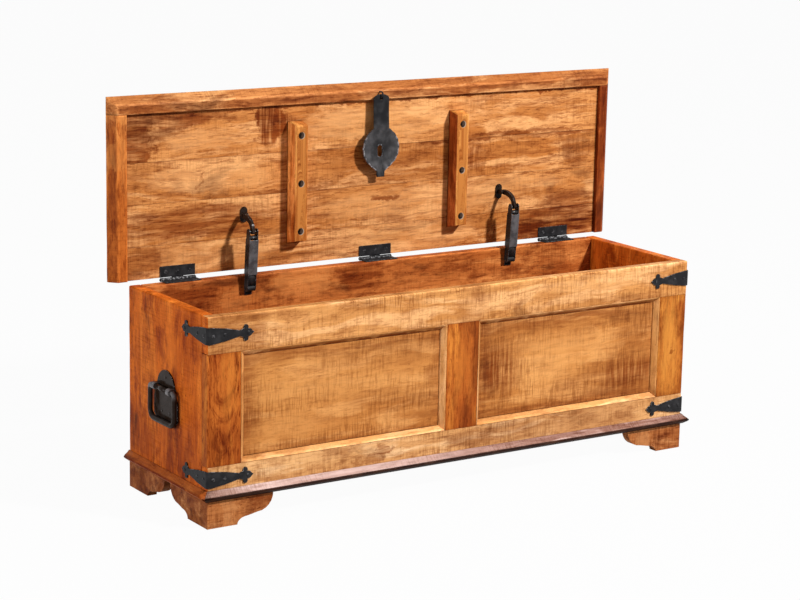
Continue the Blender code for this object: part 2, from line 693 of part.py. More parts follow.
def strap_half():
    """The upper edge of one strap arm, from the corner to its tip."""
    lobe_along = STRAP_ARM - STRAP_LOBE_BACK
    neck = lobe_along - STRAP_NECK_RUN
    lobe_middle = (lobe_along, STRAP_LOBE_HALF - STRAP_LOBE_RADIUS)
    lobe = arc(lobe_middle, STRAP_LOBE_RADIUS, 180 + STRAP_LOBE_TURN, -STRAP_LOBE_TURN)
    tip_middle = (STRAP_ARM - STRAP_TIP_BACK, 0)
    tip = arc(tip_middle, STRAP_TIP_RADIUS, 90 + STRAP_TIP_TURN, STRAP_POINT_TURN, SHOULDER_STEPS)
    bow = ((STRAP_SQUARE_RUN + neck) / 2, (STRAP_HALF_HEIGHT + STRAP_NECK_HALF) / 2 + STRAP_TAPER_BOW)
    return [(-STRAP_THICKNESS - SEAT_GAP, STRAP_HALF_HEIGHT), (STRAP_SQUARE_RUN, STRAP_HALF_HEIGHT), bow,
            (neck, STRAP_NECK_HALF)] + lobe + tip + [(STRAP_ARM, 0)]


def strap_outline():
    """Outline of one strap arm."""
    upper = strap_half()
    return upper + [(along, -height) for along, height in reversed(upper[:-1])]


def make_straps():
    """Four iron straps, each bent round a front corner and nailed to both faces."""
    outline = strap_outline()
    out = SEAT_GAP + STRAP_THICKNESS / 2
    for level, height in (("top", TOP_STRAP_Z), ("bottom", BOTTOM_STRAP_Z)):
        for name, side in (("left", -1), ("right", 1)):
            corner = Vector((side * HALF_LENGTH, -HALF_DEPTH, height))
            face = plate(outline, STRAP_THICKNESS,
                         plane(corner + Vector((0, -out, 0)), (-side, 0, 0), (0, 0, 1)))
            flank = plate(outline, STRAP_THICKNESS,
                          plane(corner + Vector((side * out, 0, 0)), (0, 1, 0), (0, 0, 1)))
            strap = nailed(fused([face, flank]), strap_seats(side, height), STRAP_THICKNESS)
            part(f"strap_{level}_{name}", strap, IRON, BOX, corner)


def make_handles():
    """Backplates with their posts, and the drop bails that hang in them."""
    dome = arc((0, 0), HANDLE_PLATE_HALF, 0, 180, 2 * ARC_STEPS)
    low = -HANDLE_PLATE_DROP
    skirt = HANDLE_PLATE_SKIRT_HALF
    foot = skirt - HANDLE_PLATE_CHAMFER
    outline = dome + [(-skirt, -HANDLE_PLATE_SKIRT_DROP), (-skirt, low + HANDLE_PLATE_CHAMFER), (-foot, low),
                      (foot, low), (skirt, low + HANDLE_PLATE_CHAMFER), (skirt, -HANDLE_PLATE_SKIRT_DROP)]
    for name, side in (("left", -1), ("right", 1)):
        axis = Vector((side * (HALF_LENGTH + HANDLE_AXIS_OUT), 0, HANDLE_HEIGHT))
        middle_x = side * (HALF_LENGTH + SEAT_GAP + HANDLE_PLATE_THICKNESS / 2)
        place = plane((middle_x, 0, HANDLE_HEIGHT), (0, 1, 0), (0, 0, 1))
        back = plate(outline, HANDLE_PLATE_THICKNESS, place)
        pieces = [nailed(back, handle_seats(side), HANDLE_PLATE_THICKNESS)]
        bores = []
        span = sorted((middle_x, axis.x))
        for end in (-1, 1):
            ends = sorted((end * HANDLE_POST_IN, end * HANDLE_POST_OUT))
            near = Vector((axis.x, ends[0], axis.z))
            far = Vector((axis.x, ends[1], axis.z))
            web = block((span[0], ends[0] + SEAT_GAP, axis.z - HANDLE_WEB_HALF),
                        (span[1], ends[1] - SEAT_GAP, axis.z + HANDLE_WEB_HALF))
            pieces += [rod(near, far, HANDLE_POST_RADIUS), web]
            past = Vector((0, HANDLE_POST_RADIUS, 0))
            bores.append(rod(near - past, far + past, BAIL_STUB_RADIUS + PIN_CLEARANCE))
        part(f"handle_{name}_plate", cut(fused(pieces), bores), IRON_BRONZE, BOX, axis)
        points, factors = bail_path()
        bail = wire([Vector((0, y, z)) + axis for y, z in points], BAIL_RADIUS, factors)
        part(f"handle_{name}_bail", bail, IRON_BRONZE, BOX, axis, smooth=True)


def bail_path():
    """Points of a bail, as y and z from its pivot axis, and the bar's radius factor at each."""
    stub = BAIL_STUB_RADIUS / BAIL_RADIUS
    inner = HANDLE_POST_IN + SEAT_GAP
    clear = HANDLE_POST_OUT + PIN_CLEARANCE
    shoulder = arc((BAIL_HALF_WIDTH - BAIL_SHOULDER, -BAIL_SHOULDER), BAIL_SHOULDER, 90, 0, SHOULDER_STEPS)
    corner = arc((BAIL_HALF_WIDTH - BAIL_CORNER, -BAIL_DROP + BAIL_CORNER), BAIL_CORNER, 0, -90)
    half = [(inner, 0), (clear, 0)] + shoulder + corner
    factors = [stub, stub] + [1.0] * (len(half) - 2)
    other = [(-y, z) for y, z in reversed(half)]
    return half + other, factors + factors[::-1]


# Hinges

def knuckle_spans(first):
    """The spans along X of every other knuckle, counted from first."""
    pitch = LEAF_LENGTH / KNUCKLES
    start = -LEAF_LENGTH / 2
    return [(start + index * pitch + SEAT_GAP / 2, start + (index + 1) * pitch - SEAT_GAP / 2)
            for index in range(first, KNUCKLES, 2)]


def leaf(spans, level):
    """One leaf at a height from the pin: a comb-shaped plate and its knuckles, at the hinge's own middle."""
    edge = KNUCKLE_RADIUS + 2 * SEAT_GAP
    far = PIN_BEHIND + LEAF_DEPTH
    half = LEAF_LENGTH / 2
    outline = [(-half, -far), (half, -far), (half, -edge)]
    for low, high in reversed(spans):
        outline += [(high, -edge), (high, 0), (low, 0), (low, -edge)]
    outline += [(-half, -edge)]
    outline = [point for index, point in enumerate(outline)
               if math.dist(point, outline[index - 1]) > SEAT_GAP]
    flat = plate(outline, LEAF_THICKNESS, Matrix.Translation((0, 0, level)))
    return [flat] + [rod((low, 0, 0), (high, 0, 0), KNUCKLE_RADIUS) for low, high in spans]


def make_hinges():
    """Three butt hinges: lower leaves with their pins on the box, upper leaves on the lid."""
    level = LEAF_HALF_GAP + LEAF_THICKNESS / 2
    half = LEAF_LENGTH / 2
    pin = rod((-half, 0, 0), (half, 0, 0), HINGE_PIN_RADIUS)
    bore = rod((-LEAF_LENGTH, 0, 0), (LEAF_LENGTH, 0, 0), HINGE_PIN_RADIUS + PIN_CLEARANCE)
    lower = fused(leaf(knuckle_spans(0), -level) + [pin])
    upper = cut(fused(leaf(knuckle_spans(1), level)), [bore])
    for name, x in (("left", -HINGE_X), ("centre", 0), ("right", HINGE_X)):
        place = Vector((x, PIN_Y, PIN_Z))
        low_leaf = screwed(moved(lower, Matrix.Translation(place)), lower_leaf_seats(x), LEAF_THICKNESS)
        part(f"hinge_{name}_lower_leaf", low_leaf, IRON, BOX, place)
        high_leaf = moved(upper, Matrix.Translation((x, 0, 0)))
        high_leaf = screwed(high_leaf, upper_leaf_seats(x), LEAF_THICKNESS, LID_SCREW_BITE)
        part(f"hinge_{name}_upper_leaf", high_leaf, IRON, LID, (x, 0, 0))


# Lid stays: the channel swings on the box's bracket beside the lid, and the link joins its head to the lid.

def make_stays():
    """Bracket, channel, link and lid foot of both stays."""
    for name, side in (("left", -1), ("right", 1)):
        x = side * STAY_X
        pivot = STAY_PIVOT_AT + Vector((x, 0, 0))
        part(f"stay_{name}_bracket", stay_bracket(pivot, side), IRON, BOX, pivot)
        foot = STAY_FOOT_AT + Vector((side * (STAY_X - STAY_FOOT_INSET), 0, 0))
        part(f"stay_{name}_foot", stay_foot(foot, side), IRON, LID, foot)
        hinge = Vector((0, PIN_Y, PIN_Z))
        lid_pin = hinge + Vector((x, STAY_FOOT_AT.z, -STAY_FOOT_AT.y))
        elbow = lid_pin + STAY_PIVOT_AT - hinge
        part(f"stay_{name}_channel", stay_channel(pivot, elbow), IRON_BRONZE, BOX, pivot)
        part(f"stay_{name}_link", stay_link(lid_pin, elbow), IRON, BOX, lid_pin)


def stay_bracket(pivot, side):
    """A wall plate with a lug and the pin that carries the channel."""
    half = STAY_BRACKET_WIDTH / 2
    lug_half = STAY_CHANNEL_WIDTH / 2 - STAY_CHANNEL_WALL - PIN_CLEARANCE
    face = WALL_INNER_Y - SEAT_GAP
    reach = STAY_SCREW_STEP + STAY_BRACKET_MARGIN
    low = pivot.z - reach
    high = pivot.z + reach
    outline = [(-half, low), (half, low), (half, high), (-half, high)]
    place = plane((pivot.x, face - STAY_PLATE / 2, 0), (1, 0, 0), (0, 0, 1))
    lug_radius = STAY_EAR_RADIUS - PIN_CLEARANCE
    lug = block((pivot.x - lug_half, pivot.y, pivot.z - lug_radius + STAY_LUG_EASE),
                (pivot.x + lug_half, face - STAY_PLATE / 2, pivot.z + lug_radius - STAY_LUG_EASE))
    across = Vector((lug_half, 0, 0))
    past = Vector((STAY_CHANNEL_WIDTH / 2 + STAY_PIN_RADIUS / 2, 0, 0))
    boss = rod(pivot - across, pivot + across, lug_radius)
    pin = rod(pivot - past, pivot + past, STAY_PIN_RADIUS)
    wall_plate = nailed(plate(outline, STAY_PLATE, place), bracket_seats(side), STAY_PLATE)
    return fused([wall_plate, lug, boss, pin])


def stay_foot(foot, side):
    """An oval plate under the lid with a lug and the pin that carries the link, in the lid's space."""
    straight = STAY_FOOT_LENGTH / 2 - STAY_FOOT_WIDTH / 2
    radius = STAY_FOOT_WIDTH / 2
    outline = arc((0, straight), radius, 0, 180) + arc((0, -straight), radius, 180, 360)
    level = LID_UNDERSIDE - SEAT_GAP - STAY_PLATE / 2
    oval = plate(outline, STAY_PLATE, Matrix.Translation((foot.x, foot.y, level)))
    oval = nailed(oval, foot_seats(side), STAY_PLATE, LID_SCREW_BITE)
    half = STAY_LUG_WIDTH / 2
    lug_radius = STAY_LINK_HALF - STAY_LUG_EASE
    lug = block((foot.x - half, foot.y - lug_radius, foot.z), (foot.x + half, foot.y + lug_radius, level))
    boss = rod(foot - Vector((half, 0, 0)), foot + Vector((half, 0, 0)), lug_radius)
    reach = STAY_FOOT_INSET + STAY_LINK_THICKNESS / 2 + STAY_PIN_RADIUS / 2
    pin = rod(foot, foot + Vector((side * reach, 0, 0)), STAY_PIN_RADIUS)
    return fused([oval, lug, boss, pin])


def stay_channel(pivot, elbow):
    """A U channel with two ears on the bracket's pin and two on a cross pin at its head."""
    along = (elbow - pivot).normalized()
    reach = (elbow - pivot).length
    across = Vector((1, 0, 0))
    forward = across.cross(along)
    half_depth = STAY_CHANNEL_DEPTH / 2
    low = STAY_CHANNEL_START
    high = reach - STAY_CHANNEL_HEAD
    ear = STAY_EAR_RADIUS
    slope = half_depth - ear
    edge = [(ear, low - slope), (half_depth, low), (half_depth, high), (ear, high + slope)]
    other_edge = [(-out, along_it) for out, along_it in reversed(edge)]
    outline = arc((0, 0), ear, 180, 360) + edge + arc((0, reach), ear, 0, 180) + other_edge
    bore = [circle((0, 0), STAY_PIN_RADIUS + PIN_CLEARANCE, ROUND_SIDES)]
    half_width = STAY_CHANNEL_WIDTH / 2
    cheeks = [plate(outline, STAY_CHANNEL_WALL,
                    plane(pivot + across * end * (half_width - STAY_CHANNEL_WALL / 2), forward, along), bore)
              for end in (-1, 1)]
    web_outline = [(-half_width, low), (half_width, low), (half_width, high), (-half_width, high)]
    web_place = plane(pivot + forward * (half_depth - STAY_CHANNEL_WALL / 2), across, along)
    web = plate(web_outline, STAY_CHANNEL_WALL, web_place)
    pin = rod(elbow - across * half_width, elbow + across * half_width, STAY_PIN_RADIUS)
    return fused([cheeks[0], web, cheeks[1], pin])


def stay_link(lid_pin, elbow):
    """A curved flat bar from the lid's pin to the channel's cross pin."""
    place = plane(lid_pin, (0, 1, 0), (0, 0, 1))
    end = ((elbow - lid_pin).y, (elbow - lid_pin).z)
    bend = (end[0], 0)
    left = []
    right = []
    for step in range(ARC_STEPS + 1):
        t = step / ARC_STEPS
        point = [2 * t * (1 - t) * bend[axis] + t * t * end[axis] for axis in (0, 1)]
        slope = [2 * (1 - 2 * t) * bend[axis] + 2 * t * end[axis] for axis in (0, 1)]
        size = math.hypot(*slope)
        normal = (-slope[1] / size, slope[0] / size)
        left.append((point[0] + STAY_LINK_HALF * normal[0], point[1] + STAY_LINK_HALF * normal[1]))
        right.append((point[0] - STAY_LINK_HALF * normal[0], point[1] - STAY_LINK_HALF * normal[1]))
    tail = arc(end, STAY_LINK_HALF, 0, -180)
    nose = arc((0, 0), STAY_LINK_HALF, 90, -90)
    outline = right[1:-1] + tail[::-1] + left[::-1][1:-1] + nose[::-1]
    holes = [circle((0, 0), STAY_PIN_RADIUS + PIN_CLEARANCE, ROUND_SIDES),
             circle(end, STAY_PIN_RADIUS + STAY_ELBOW_CLEARANCE, ROUND_SIDES)]
    return plate(outline, STAY_LINK_THICKNESS, place, holes)


# Lid, in its own space: closed, pin at the origin, front towards -Y

def make_lid():
    """Planks, the bevelled rim on three sides, and two battens."""
    top = LID_UNDERSIDE + PLANK_THICKNESS
    half = LID_INNER_HALF - SEAT_GAP
    batten_holes = [item for side in (-1, 1) for item in batten_seats(side)]
    plate_holes = [item for x in (-HINGE_X, 0, HINGE_X) for item in upper_leaf_seats(x)]
    plate_holes += [item for side in (-1, 1) for item in foot_seats(side)]
    edges = (LID_BACK_EDGE - SEAT_GAP / 2, *PLANK_EDGES, LID_RIM_INNER - SEAT_GAP / 2)
    for index, (near, far) in enumerate(zip(edges, edges[1:])):
        near += SEAT_GAP / 2
        far -= SEAT_GAP / 2
        plank = block((-half, -far, LID_UNDERSIDE), (half, -near, top), PLANK_ROUND)
        reach = (near - HOLE_RADIUS, far + HOLE_RADIUS)
        tools = holes_for([item for item in batten_holes if reach[0] < -item[0].y < reach[1]], BATTEN_SHANK)
        tools += holes_for([item for item in plate_holes if reach[0] < -item[0].y < reach[1]], LID_SCREW_BITE)
        part(f"lid_plank_{index + 1}", cut(plank, tools), WOOD_LID, LID)
    make_rim()
    for name, side in (("left", -1), ("right", 1)):
        part(f"lid_batten_{name}", batten(side), WOOD_RIM, LID, (side * BATTEN_X, -BATTEN_MIDDLE, 0))
        for place, (seat, inward) in zip(("front", "middle", "back"), batten_seats(side)):
            level = SEAT_GAP + BATTEN_SCREW_HEAD_HEIGHT
            head = rod(seat - inward * SEAT_GAP, seat - inward * level, BATTEN_SCREW_HEAD_RADIUS,
                       FASTENER_SIDES)
            stem = shank(seat, inward, (level + SEAT_GAP) / 2, BATTEN_SHANK)
            part(f"batten_screw_{name}_{place}", fused([head, stem]), STEEL, LID, seat)


def make_rim():
    """The lid's rim: the front piece runs full length, the end pieces butt against it."""
    front = stacked(*[((-LID_INNER_HALF - out, -LID_RIM_INNER - out, level),
                       (LID_INNER_HALF + out, -LID_RIM_INNER, level)) for out, level in rim_profile()])
    legs = [rod(STAPLE_AT + Vector((0, end * STAPLE_RADIUS, 0)),
                STAPLE_AT + Vector((0, end * STAPLE_RADIUS, STAPLE_OUT + STAPLE_LEG + SEAT_GAP)),
                STAPLE_WIRE + PIN_CLEARANCE, FASTENER_SIDES) for end in (-1, 1)]
    part("lid_rim_front", cut(front, legs), WOOD_RIM, LID)
    near = -LID_RIM_INNER + SEAT_GAP
    for name, side in (("left", -1), ("right", 1)):
        layers = []
        for out, level in rim_profile():
            span = sorted((side * LID_INNER_HALF, side * (LID_INNER_HALF + out)))
            layers.append(((span[0], near, level), (span[1], -LID_BACK_EDGE, level)))
        part(f"lid_rim_{name}", stacked(*layers), WOOD_RIM, LID)


def rim_profile():
    """The rim's width at each level, from its underside to its eased top edge."""
    low = LID_UNDERSIDE - RIM_DROP
    top = LID_UNDERSIDE + PLANK_THICKNESS
    full = RIM_WIDTH + RIM_FLARE
    eased = RIM_ROUND * (1 - math.sqrt(0.5))
    face_top = top - RIM_ROUND
    return [(RIM_WIDTH, low), (full, face_top - RIM_FACE), (full, face_top), (full - eased, top - eased),
            (full - RIM_ROUND, top)]


def batten(side):
    """A batten with sloped ends and three counterbored screw holes."""
    middle = Vector((side * BATTEN_X, -BATTEN_MIDDLE, 0))
    high = LID_UNDERSIDE - SEAT_GAP
    low = high - BATTEN_THICKNESS
    half = Vector((BATTEN_WIDTH / 2, (BATTEN_END - BATTEN_START) / 2, 0))
    small = half - Vector((BATTEN_SIDE_SLOPE, BATTEN_END_SLOPE, 0))
    mesh = stacked(((*(middle - small).xy, low), (*(middle + small).xy, low)),
                   ((*(middle - half).xy, high), (*(middle + half).xy, high)))
    tools = []
    for seat, inward in batten_seats(side):
        bore = rod(seat - inward * 2 * BATTEN_HOLE_DEPTH, seat, BATTEN_HOLE_RADIUS, ROUND_SIDES)
        pilot_start = seat - inward * SHANK_RADIUS
        pilot = rod(pilot_start, seat + inward * BATTEN_THICKNESS, HOLE_RADIUS, FASTENER_SIDES)
        tools.append(fused([bore, pilot]))
    return cut(mesh, tools)


# Hasp

def make_hasp():
    """A wire staple in the lid's front rim and the hasp that hangs in it."""
    crown = arc((0, 0), STAPLE_RADIUS, 180, 360, 2 * ARC_STEPS)
    top = STAPLE_OUT + STAPLE_LEG
    path = [(-STAPLE_RADIUS, top)] + crown + [(STAPLE_RADIUS, top)]
    staple = wire([STAPLE_AT + Vector((0, y, z)) for y, z in path], STAPLE_WIRE, sides_level=1)
    part("hasp_staple", staple, IRON, LID, STAPLE_AT, smooth=True)
    half = HASP_STRAP_WIDTH / 2
    head = arc((0, HASP_ABOVE_EYE - HASP_HEAD_RISE), (half, HASP_HEAD_RISE), 180, 0)
    shoulder = math.degrees(math.acos(half / HASP_DISC_RADIUS))
    disc_right = arc((0, -HASP_DISC_DROP), HASP_DISC_RADIUS, shoulder, -HASP_TAB_TURN, 2 * ARC_STEPS)
    disc_left = [(-x, y) for x, y in reversed(disc_right)]
    tab = HASP_TAB_WIDTH / 2
    outline = head + disc_right + [(tab, -HASP_TIP_DROP), (tab, -HASP_TAB_DROP), (-tab, -HASP_TAB_DROP),
                                   (-tab, -HASP_TIP_DROP)] + disc_left
    slot_half = HASP_SLOT_WIDTH / 2
    slot_straight = HASP_SLOT_LENGTH / 2 - slot_half
    slot = (arc((0, slot_straight - HASP_SLOT_DROP), slot_half, 0, 180)
            + arc((0, -slot_straight - HASP_SLOT_DROP), slot_half, 180, 360))
    eye = circle((0, 0), HASP_EYE_RADIUS, ROUND_SIDES)
    hinge = Vector((0, PIN_Y, PIN_Z))
    axis = hinge + Vector((0, STAPLE_AT.z, -STAPLE_AT.y))
    place = plane(axis - Vector((0, 0, STAPLE_RADIUS)), (1, 0, 0), (0, 0, 1))
    part("hasp", plate(outline, HASP_THICKNESS, place, [eye, slot]), IRON, BOX, axis)


clear_scene()
PARTS = collection("storage_chest")
CUTTERS = collection("cutters")
WOOD_FRONT = finish("honey_mango_front", (0.46, 0.22, 0.07), 0.5, 0.0)
WOOD_STILE = finish("amber_mango_stile", (0.42, 0.17, 0.045), 0.5, 0.0)
WOOD_PANEL = finish("golden_mango_panel", (0.44, 0.21, 0.06), 0.5, 0.0)
WOOD_SIDE = finish("red_brown_side", (0.34, 0.12, 0.03), 0.5, 0.0)
WOOD_BACK = finish("brown_back", (0.30, 0.12, 0.035), 0.55, 0.0)
WOOD_MOULDING = finish("plum_brown_moulding", (0.28, 0.10, 0.05), 0.45, 0.0)
WOOD_FOOT = finish("brown_foot", (0.33, 0.13, 0.035), 0.5, 0.0)
WOOD_LID = finish("honey_lid", (0.48, 0.24, 0.08), 0.5, 0.0)
WOOD_RIM = finish("amber_rim", (0.40, 0.16, 0.045), 0.5, 0.0)
IRON = finish("black_iron", (0.03, 0.03, 0.032), 0.5, 0.8)
IRON_BRONZE = finish("bronze_black_iron", (0.035, 0.03, 0.026), 0.35, 0.9)
STEEL = finish("dull_steel", (0.2, 0.19, 0.18), 0.4, 1.0)
BOX = empty("chest_frame", (0, -(OPEN_FRONT + OPEN_BACK) / 2, 0))
LID = empty("lid_hinge_axis", (0, PIN_Y, PIN_Z), BOX, math.radians(-90))

make_front()
make_walls()
make_base()
make_feet()
make_straps()
make_handles()
make_hinges()
make_stays()
make_lid()
make_hasp()
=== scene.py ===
"""Storage chest: oiled boards, forged iron fittings and a plain studio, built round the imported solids."""
import json
import math

import bmesh
import bpy
from bpy.props import FloatProperty, FloatVectorProperty, IntProperty, PointerProperty
from bpy.types import Operator, Panel, PropertyGroup
from mathutils import Matrix, Vector, noise

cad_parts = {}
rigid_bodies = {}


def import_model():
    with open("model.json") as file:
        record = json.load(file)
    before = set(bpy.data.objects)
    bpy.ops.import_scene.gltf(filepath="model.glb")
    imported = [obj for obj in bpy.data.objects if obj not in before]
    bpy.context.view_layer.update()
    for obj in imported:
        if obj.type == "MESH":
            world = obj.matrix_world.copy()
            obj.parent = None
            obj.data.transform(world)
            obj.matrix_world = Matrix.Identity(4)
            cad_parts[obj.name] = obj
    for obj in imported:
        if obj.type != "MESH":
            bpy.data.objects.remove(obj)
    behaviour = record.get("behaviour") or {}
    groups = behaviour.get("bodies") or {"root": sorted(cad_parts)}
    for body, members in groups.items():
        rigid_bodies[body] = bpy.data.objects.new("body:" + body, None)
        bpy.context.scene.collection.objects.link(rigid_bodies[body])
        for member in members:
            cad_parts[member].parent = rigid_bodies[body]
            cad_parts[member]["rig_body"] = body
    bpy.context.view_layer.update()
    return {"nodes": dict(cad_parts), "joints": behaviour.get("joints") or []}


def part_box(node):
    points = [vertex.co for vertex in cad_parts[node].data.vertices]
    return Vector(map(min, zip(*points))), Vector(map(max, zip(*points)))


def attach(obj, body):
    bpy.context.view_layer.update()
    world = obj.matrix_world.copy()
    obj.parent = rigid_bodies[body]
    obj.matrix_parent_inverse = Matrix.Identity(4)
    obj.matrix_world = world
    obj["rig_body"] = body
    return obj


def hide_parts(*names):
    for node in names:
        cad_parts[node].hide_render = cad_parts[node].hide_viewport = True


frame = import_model()

bl_info = {
    "name": "Storage Chest",
    "version": (1, 0, 0),
    "blender": (4, 5, 0),
    "location": "3D View > Sidebar > Chest",
    "description": "Builds the boards, the iron fittings and the studio of a storage chest round its solids",
    "category": "Object",
}

X_AXIS = Vector((1, 0, 0))
Y_AXIS = Vector((0, 1, 0))
Z_AXIS = Vector((0, 0, 1))
SIDE_NAMES = ("left", "right")
SIDES = (("left", -1), ("right", 1))
NEAR = 0.000005
FLAT_ANGLE = math.radians(1)
SHARP_ANGLE = math.radians(20)
EASE_PROFILE = 0.6
NORMAL_WEIGHT = 80
WHITE = (1, 1, 1, 1)

# Wood: a finish has four tones from pale to dark. Its dark patches are stains, and painted shade where noted;
# its lights are pale ones, and a painted reflection where noted; its sawn ones are marks across the grain,
# each with a place along and across the board from its middle, half sizes in metres, and a strength.
LID_TONES = ((0.86, 0.43, 0.165), (0.68, 0.285, 0.085), (0.53, 0.185, 0.042), (0.13, 0.034, 0.011))
BROWN_TONES = ((0.80, 0.38, 0.14), (0.60, 0.225, 0.066), (0.45, 0.145, 0.036), (0.13, 0.034, 0.01))
RAIL_TONES = ((0.91, 0.49, 0.205), (0.77, 0.365, 0.12), (0.60, 0.25, 0.068), (0.17, 0.055, 0.017))
PALE_TONES = ((0.95, 0.60, 0.31), (0.83, 0.455, 0.19), (0.67, 0.325, 0.118), (0.20, 0.07, 0.024))
PANEL_TONES = ((0.75, 0.35, 0.11), (0.64, 0.27, 0.072), (0.55, 0.21, 0.05), (0.17, 0.06, 0.018))
GOLD_TONES = ((0.74, 0.30, 0.052), (0.54, 0.175, 0.027), (0.41, 0.108, 0.016), (0.15, 0.034, 0.006))
STILE_TONES = ((0.70, 0.235, 0.036), (0.54, 0.145, 0.021), (0.43, 0.096, 0.014), (0.15, 0.034, 0.006))
SIDE_TONES = ((0.80, 0.22, 0.028), (0.66, 0.15, 0.015), (0.53, 0.105, 0.009), (0.17, 0.033, 0.004))
BATTEN_TONES = ((0.66, 0.27, 0.062), (0.52, 0.178, 0.036), (0.41, 0.115, 0.02), (0.16, 0.036, 0.008))
INSIDE_TONES = ((0.72, 0.26, 0.068), (0.56, 0.17, 0.038), (0.43, 0.108, 0.02), (0.12, 0.026, 0.006))
# The palest plum tone stands partly for a painted reflection on the moulding's upper slope.
PLUM_AND_REFLECTION_TONES = ((0.78, 0.58, 0.53), (0.48, 0.30, 0.245), (0.36, 0.195, 0.15), (0.14, 0.05, 0.03))
SHADED_TONES = ((0.42, 0.10, 0.02), (0.27, 0.05, 0.0075), (0.19, 0.033, 0.0045), (0.06, 0.01, 0.002))
EDGE_TONES = ((0.68, 0.25, 0.06), (0.52, 0.135, 0.021), (0.40, 0.092, 0.013), (0.12, 0.026, 0.005))
DEEP_TONES = ((0.52, 0.15, 0.03), (0.42, 0.10, 0.017), (0.34, 0.075, 0.012), (0.12, 0.025, 0.005))
# Painted shadow: near black tones for the strip under the moulding's nose.
NOSE_SHADOW_TONES = ((0.10, 0.045, 0.025), (0.06, 0.024, 0.013), (0.04, 0.015, 0.008), (0.015, 0.006, 0.003))
FOOT_TONES = ((0.66, 0.29, 0.105), (0.50, 0.178, 0.052), (0.37, 0.112, 0.029), (0.10, 0.026, 0.008))
# The stain colour also darkens painted shade at joints, rims, beads and mouldings, and in some dark patches.
STAIN_AND_SHADE = (0.40, 0.22, 0.125, 1)
SAW_STAIN = (0.46, 0.33, 0.22, 1)
# The paling of worn edges, which also gives painted highlights.
WEAR_AND_HIGHLIGHT = (1.45, 1.6, 1.8, 1)
ALONG_STREAK = (12.0, 110.0, 110.0)
CROSS_STREAK = (190.0, 10.0, 10.0)
# Painted shade deep in the counterbores.
BORE_SHADE = (0.03, 0.012, 0.006, 1)
BORE_RAW = (0.40, 0.30, 0.22, 1)
BORE_MOUTH = (0.002, 0.0035)
BORE_STAIN = 0.15
BORE_ROUGHNESS = 0.8
WOOD_BUMP = (0.5, 0.0012)
WOOD_SHEEN = 0.055
NOISE_MIDDLE = (0.5, 0.5, 0.5)
GRAIN_WANDER = (0.05, 0.03, 0.03)
PATCH_WANDER = (0.12, 0.04, 0.04)
PATCH_SOFTNESS = 0.2
PATCH_KINDS = (("lights", "MIX", ALONG_STREAK, 0.6), ("dark_patches", "MULTIPLY", ALONG_STREAK, 1.0),
               ("sawn", "MULTIPLY", CROSS_STREAK, 1.0))
CONE_SLOPE = 0.16

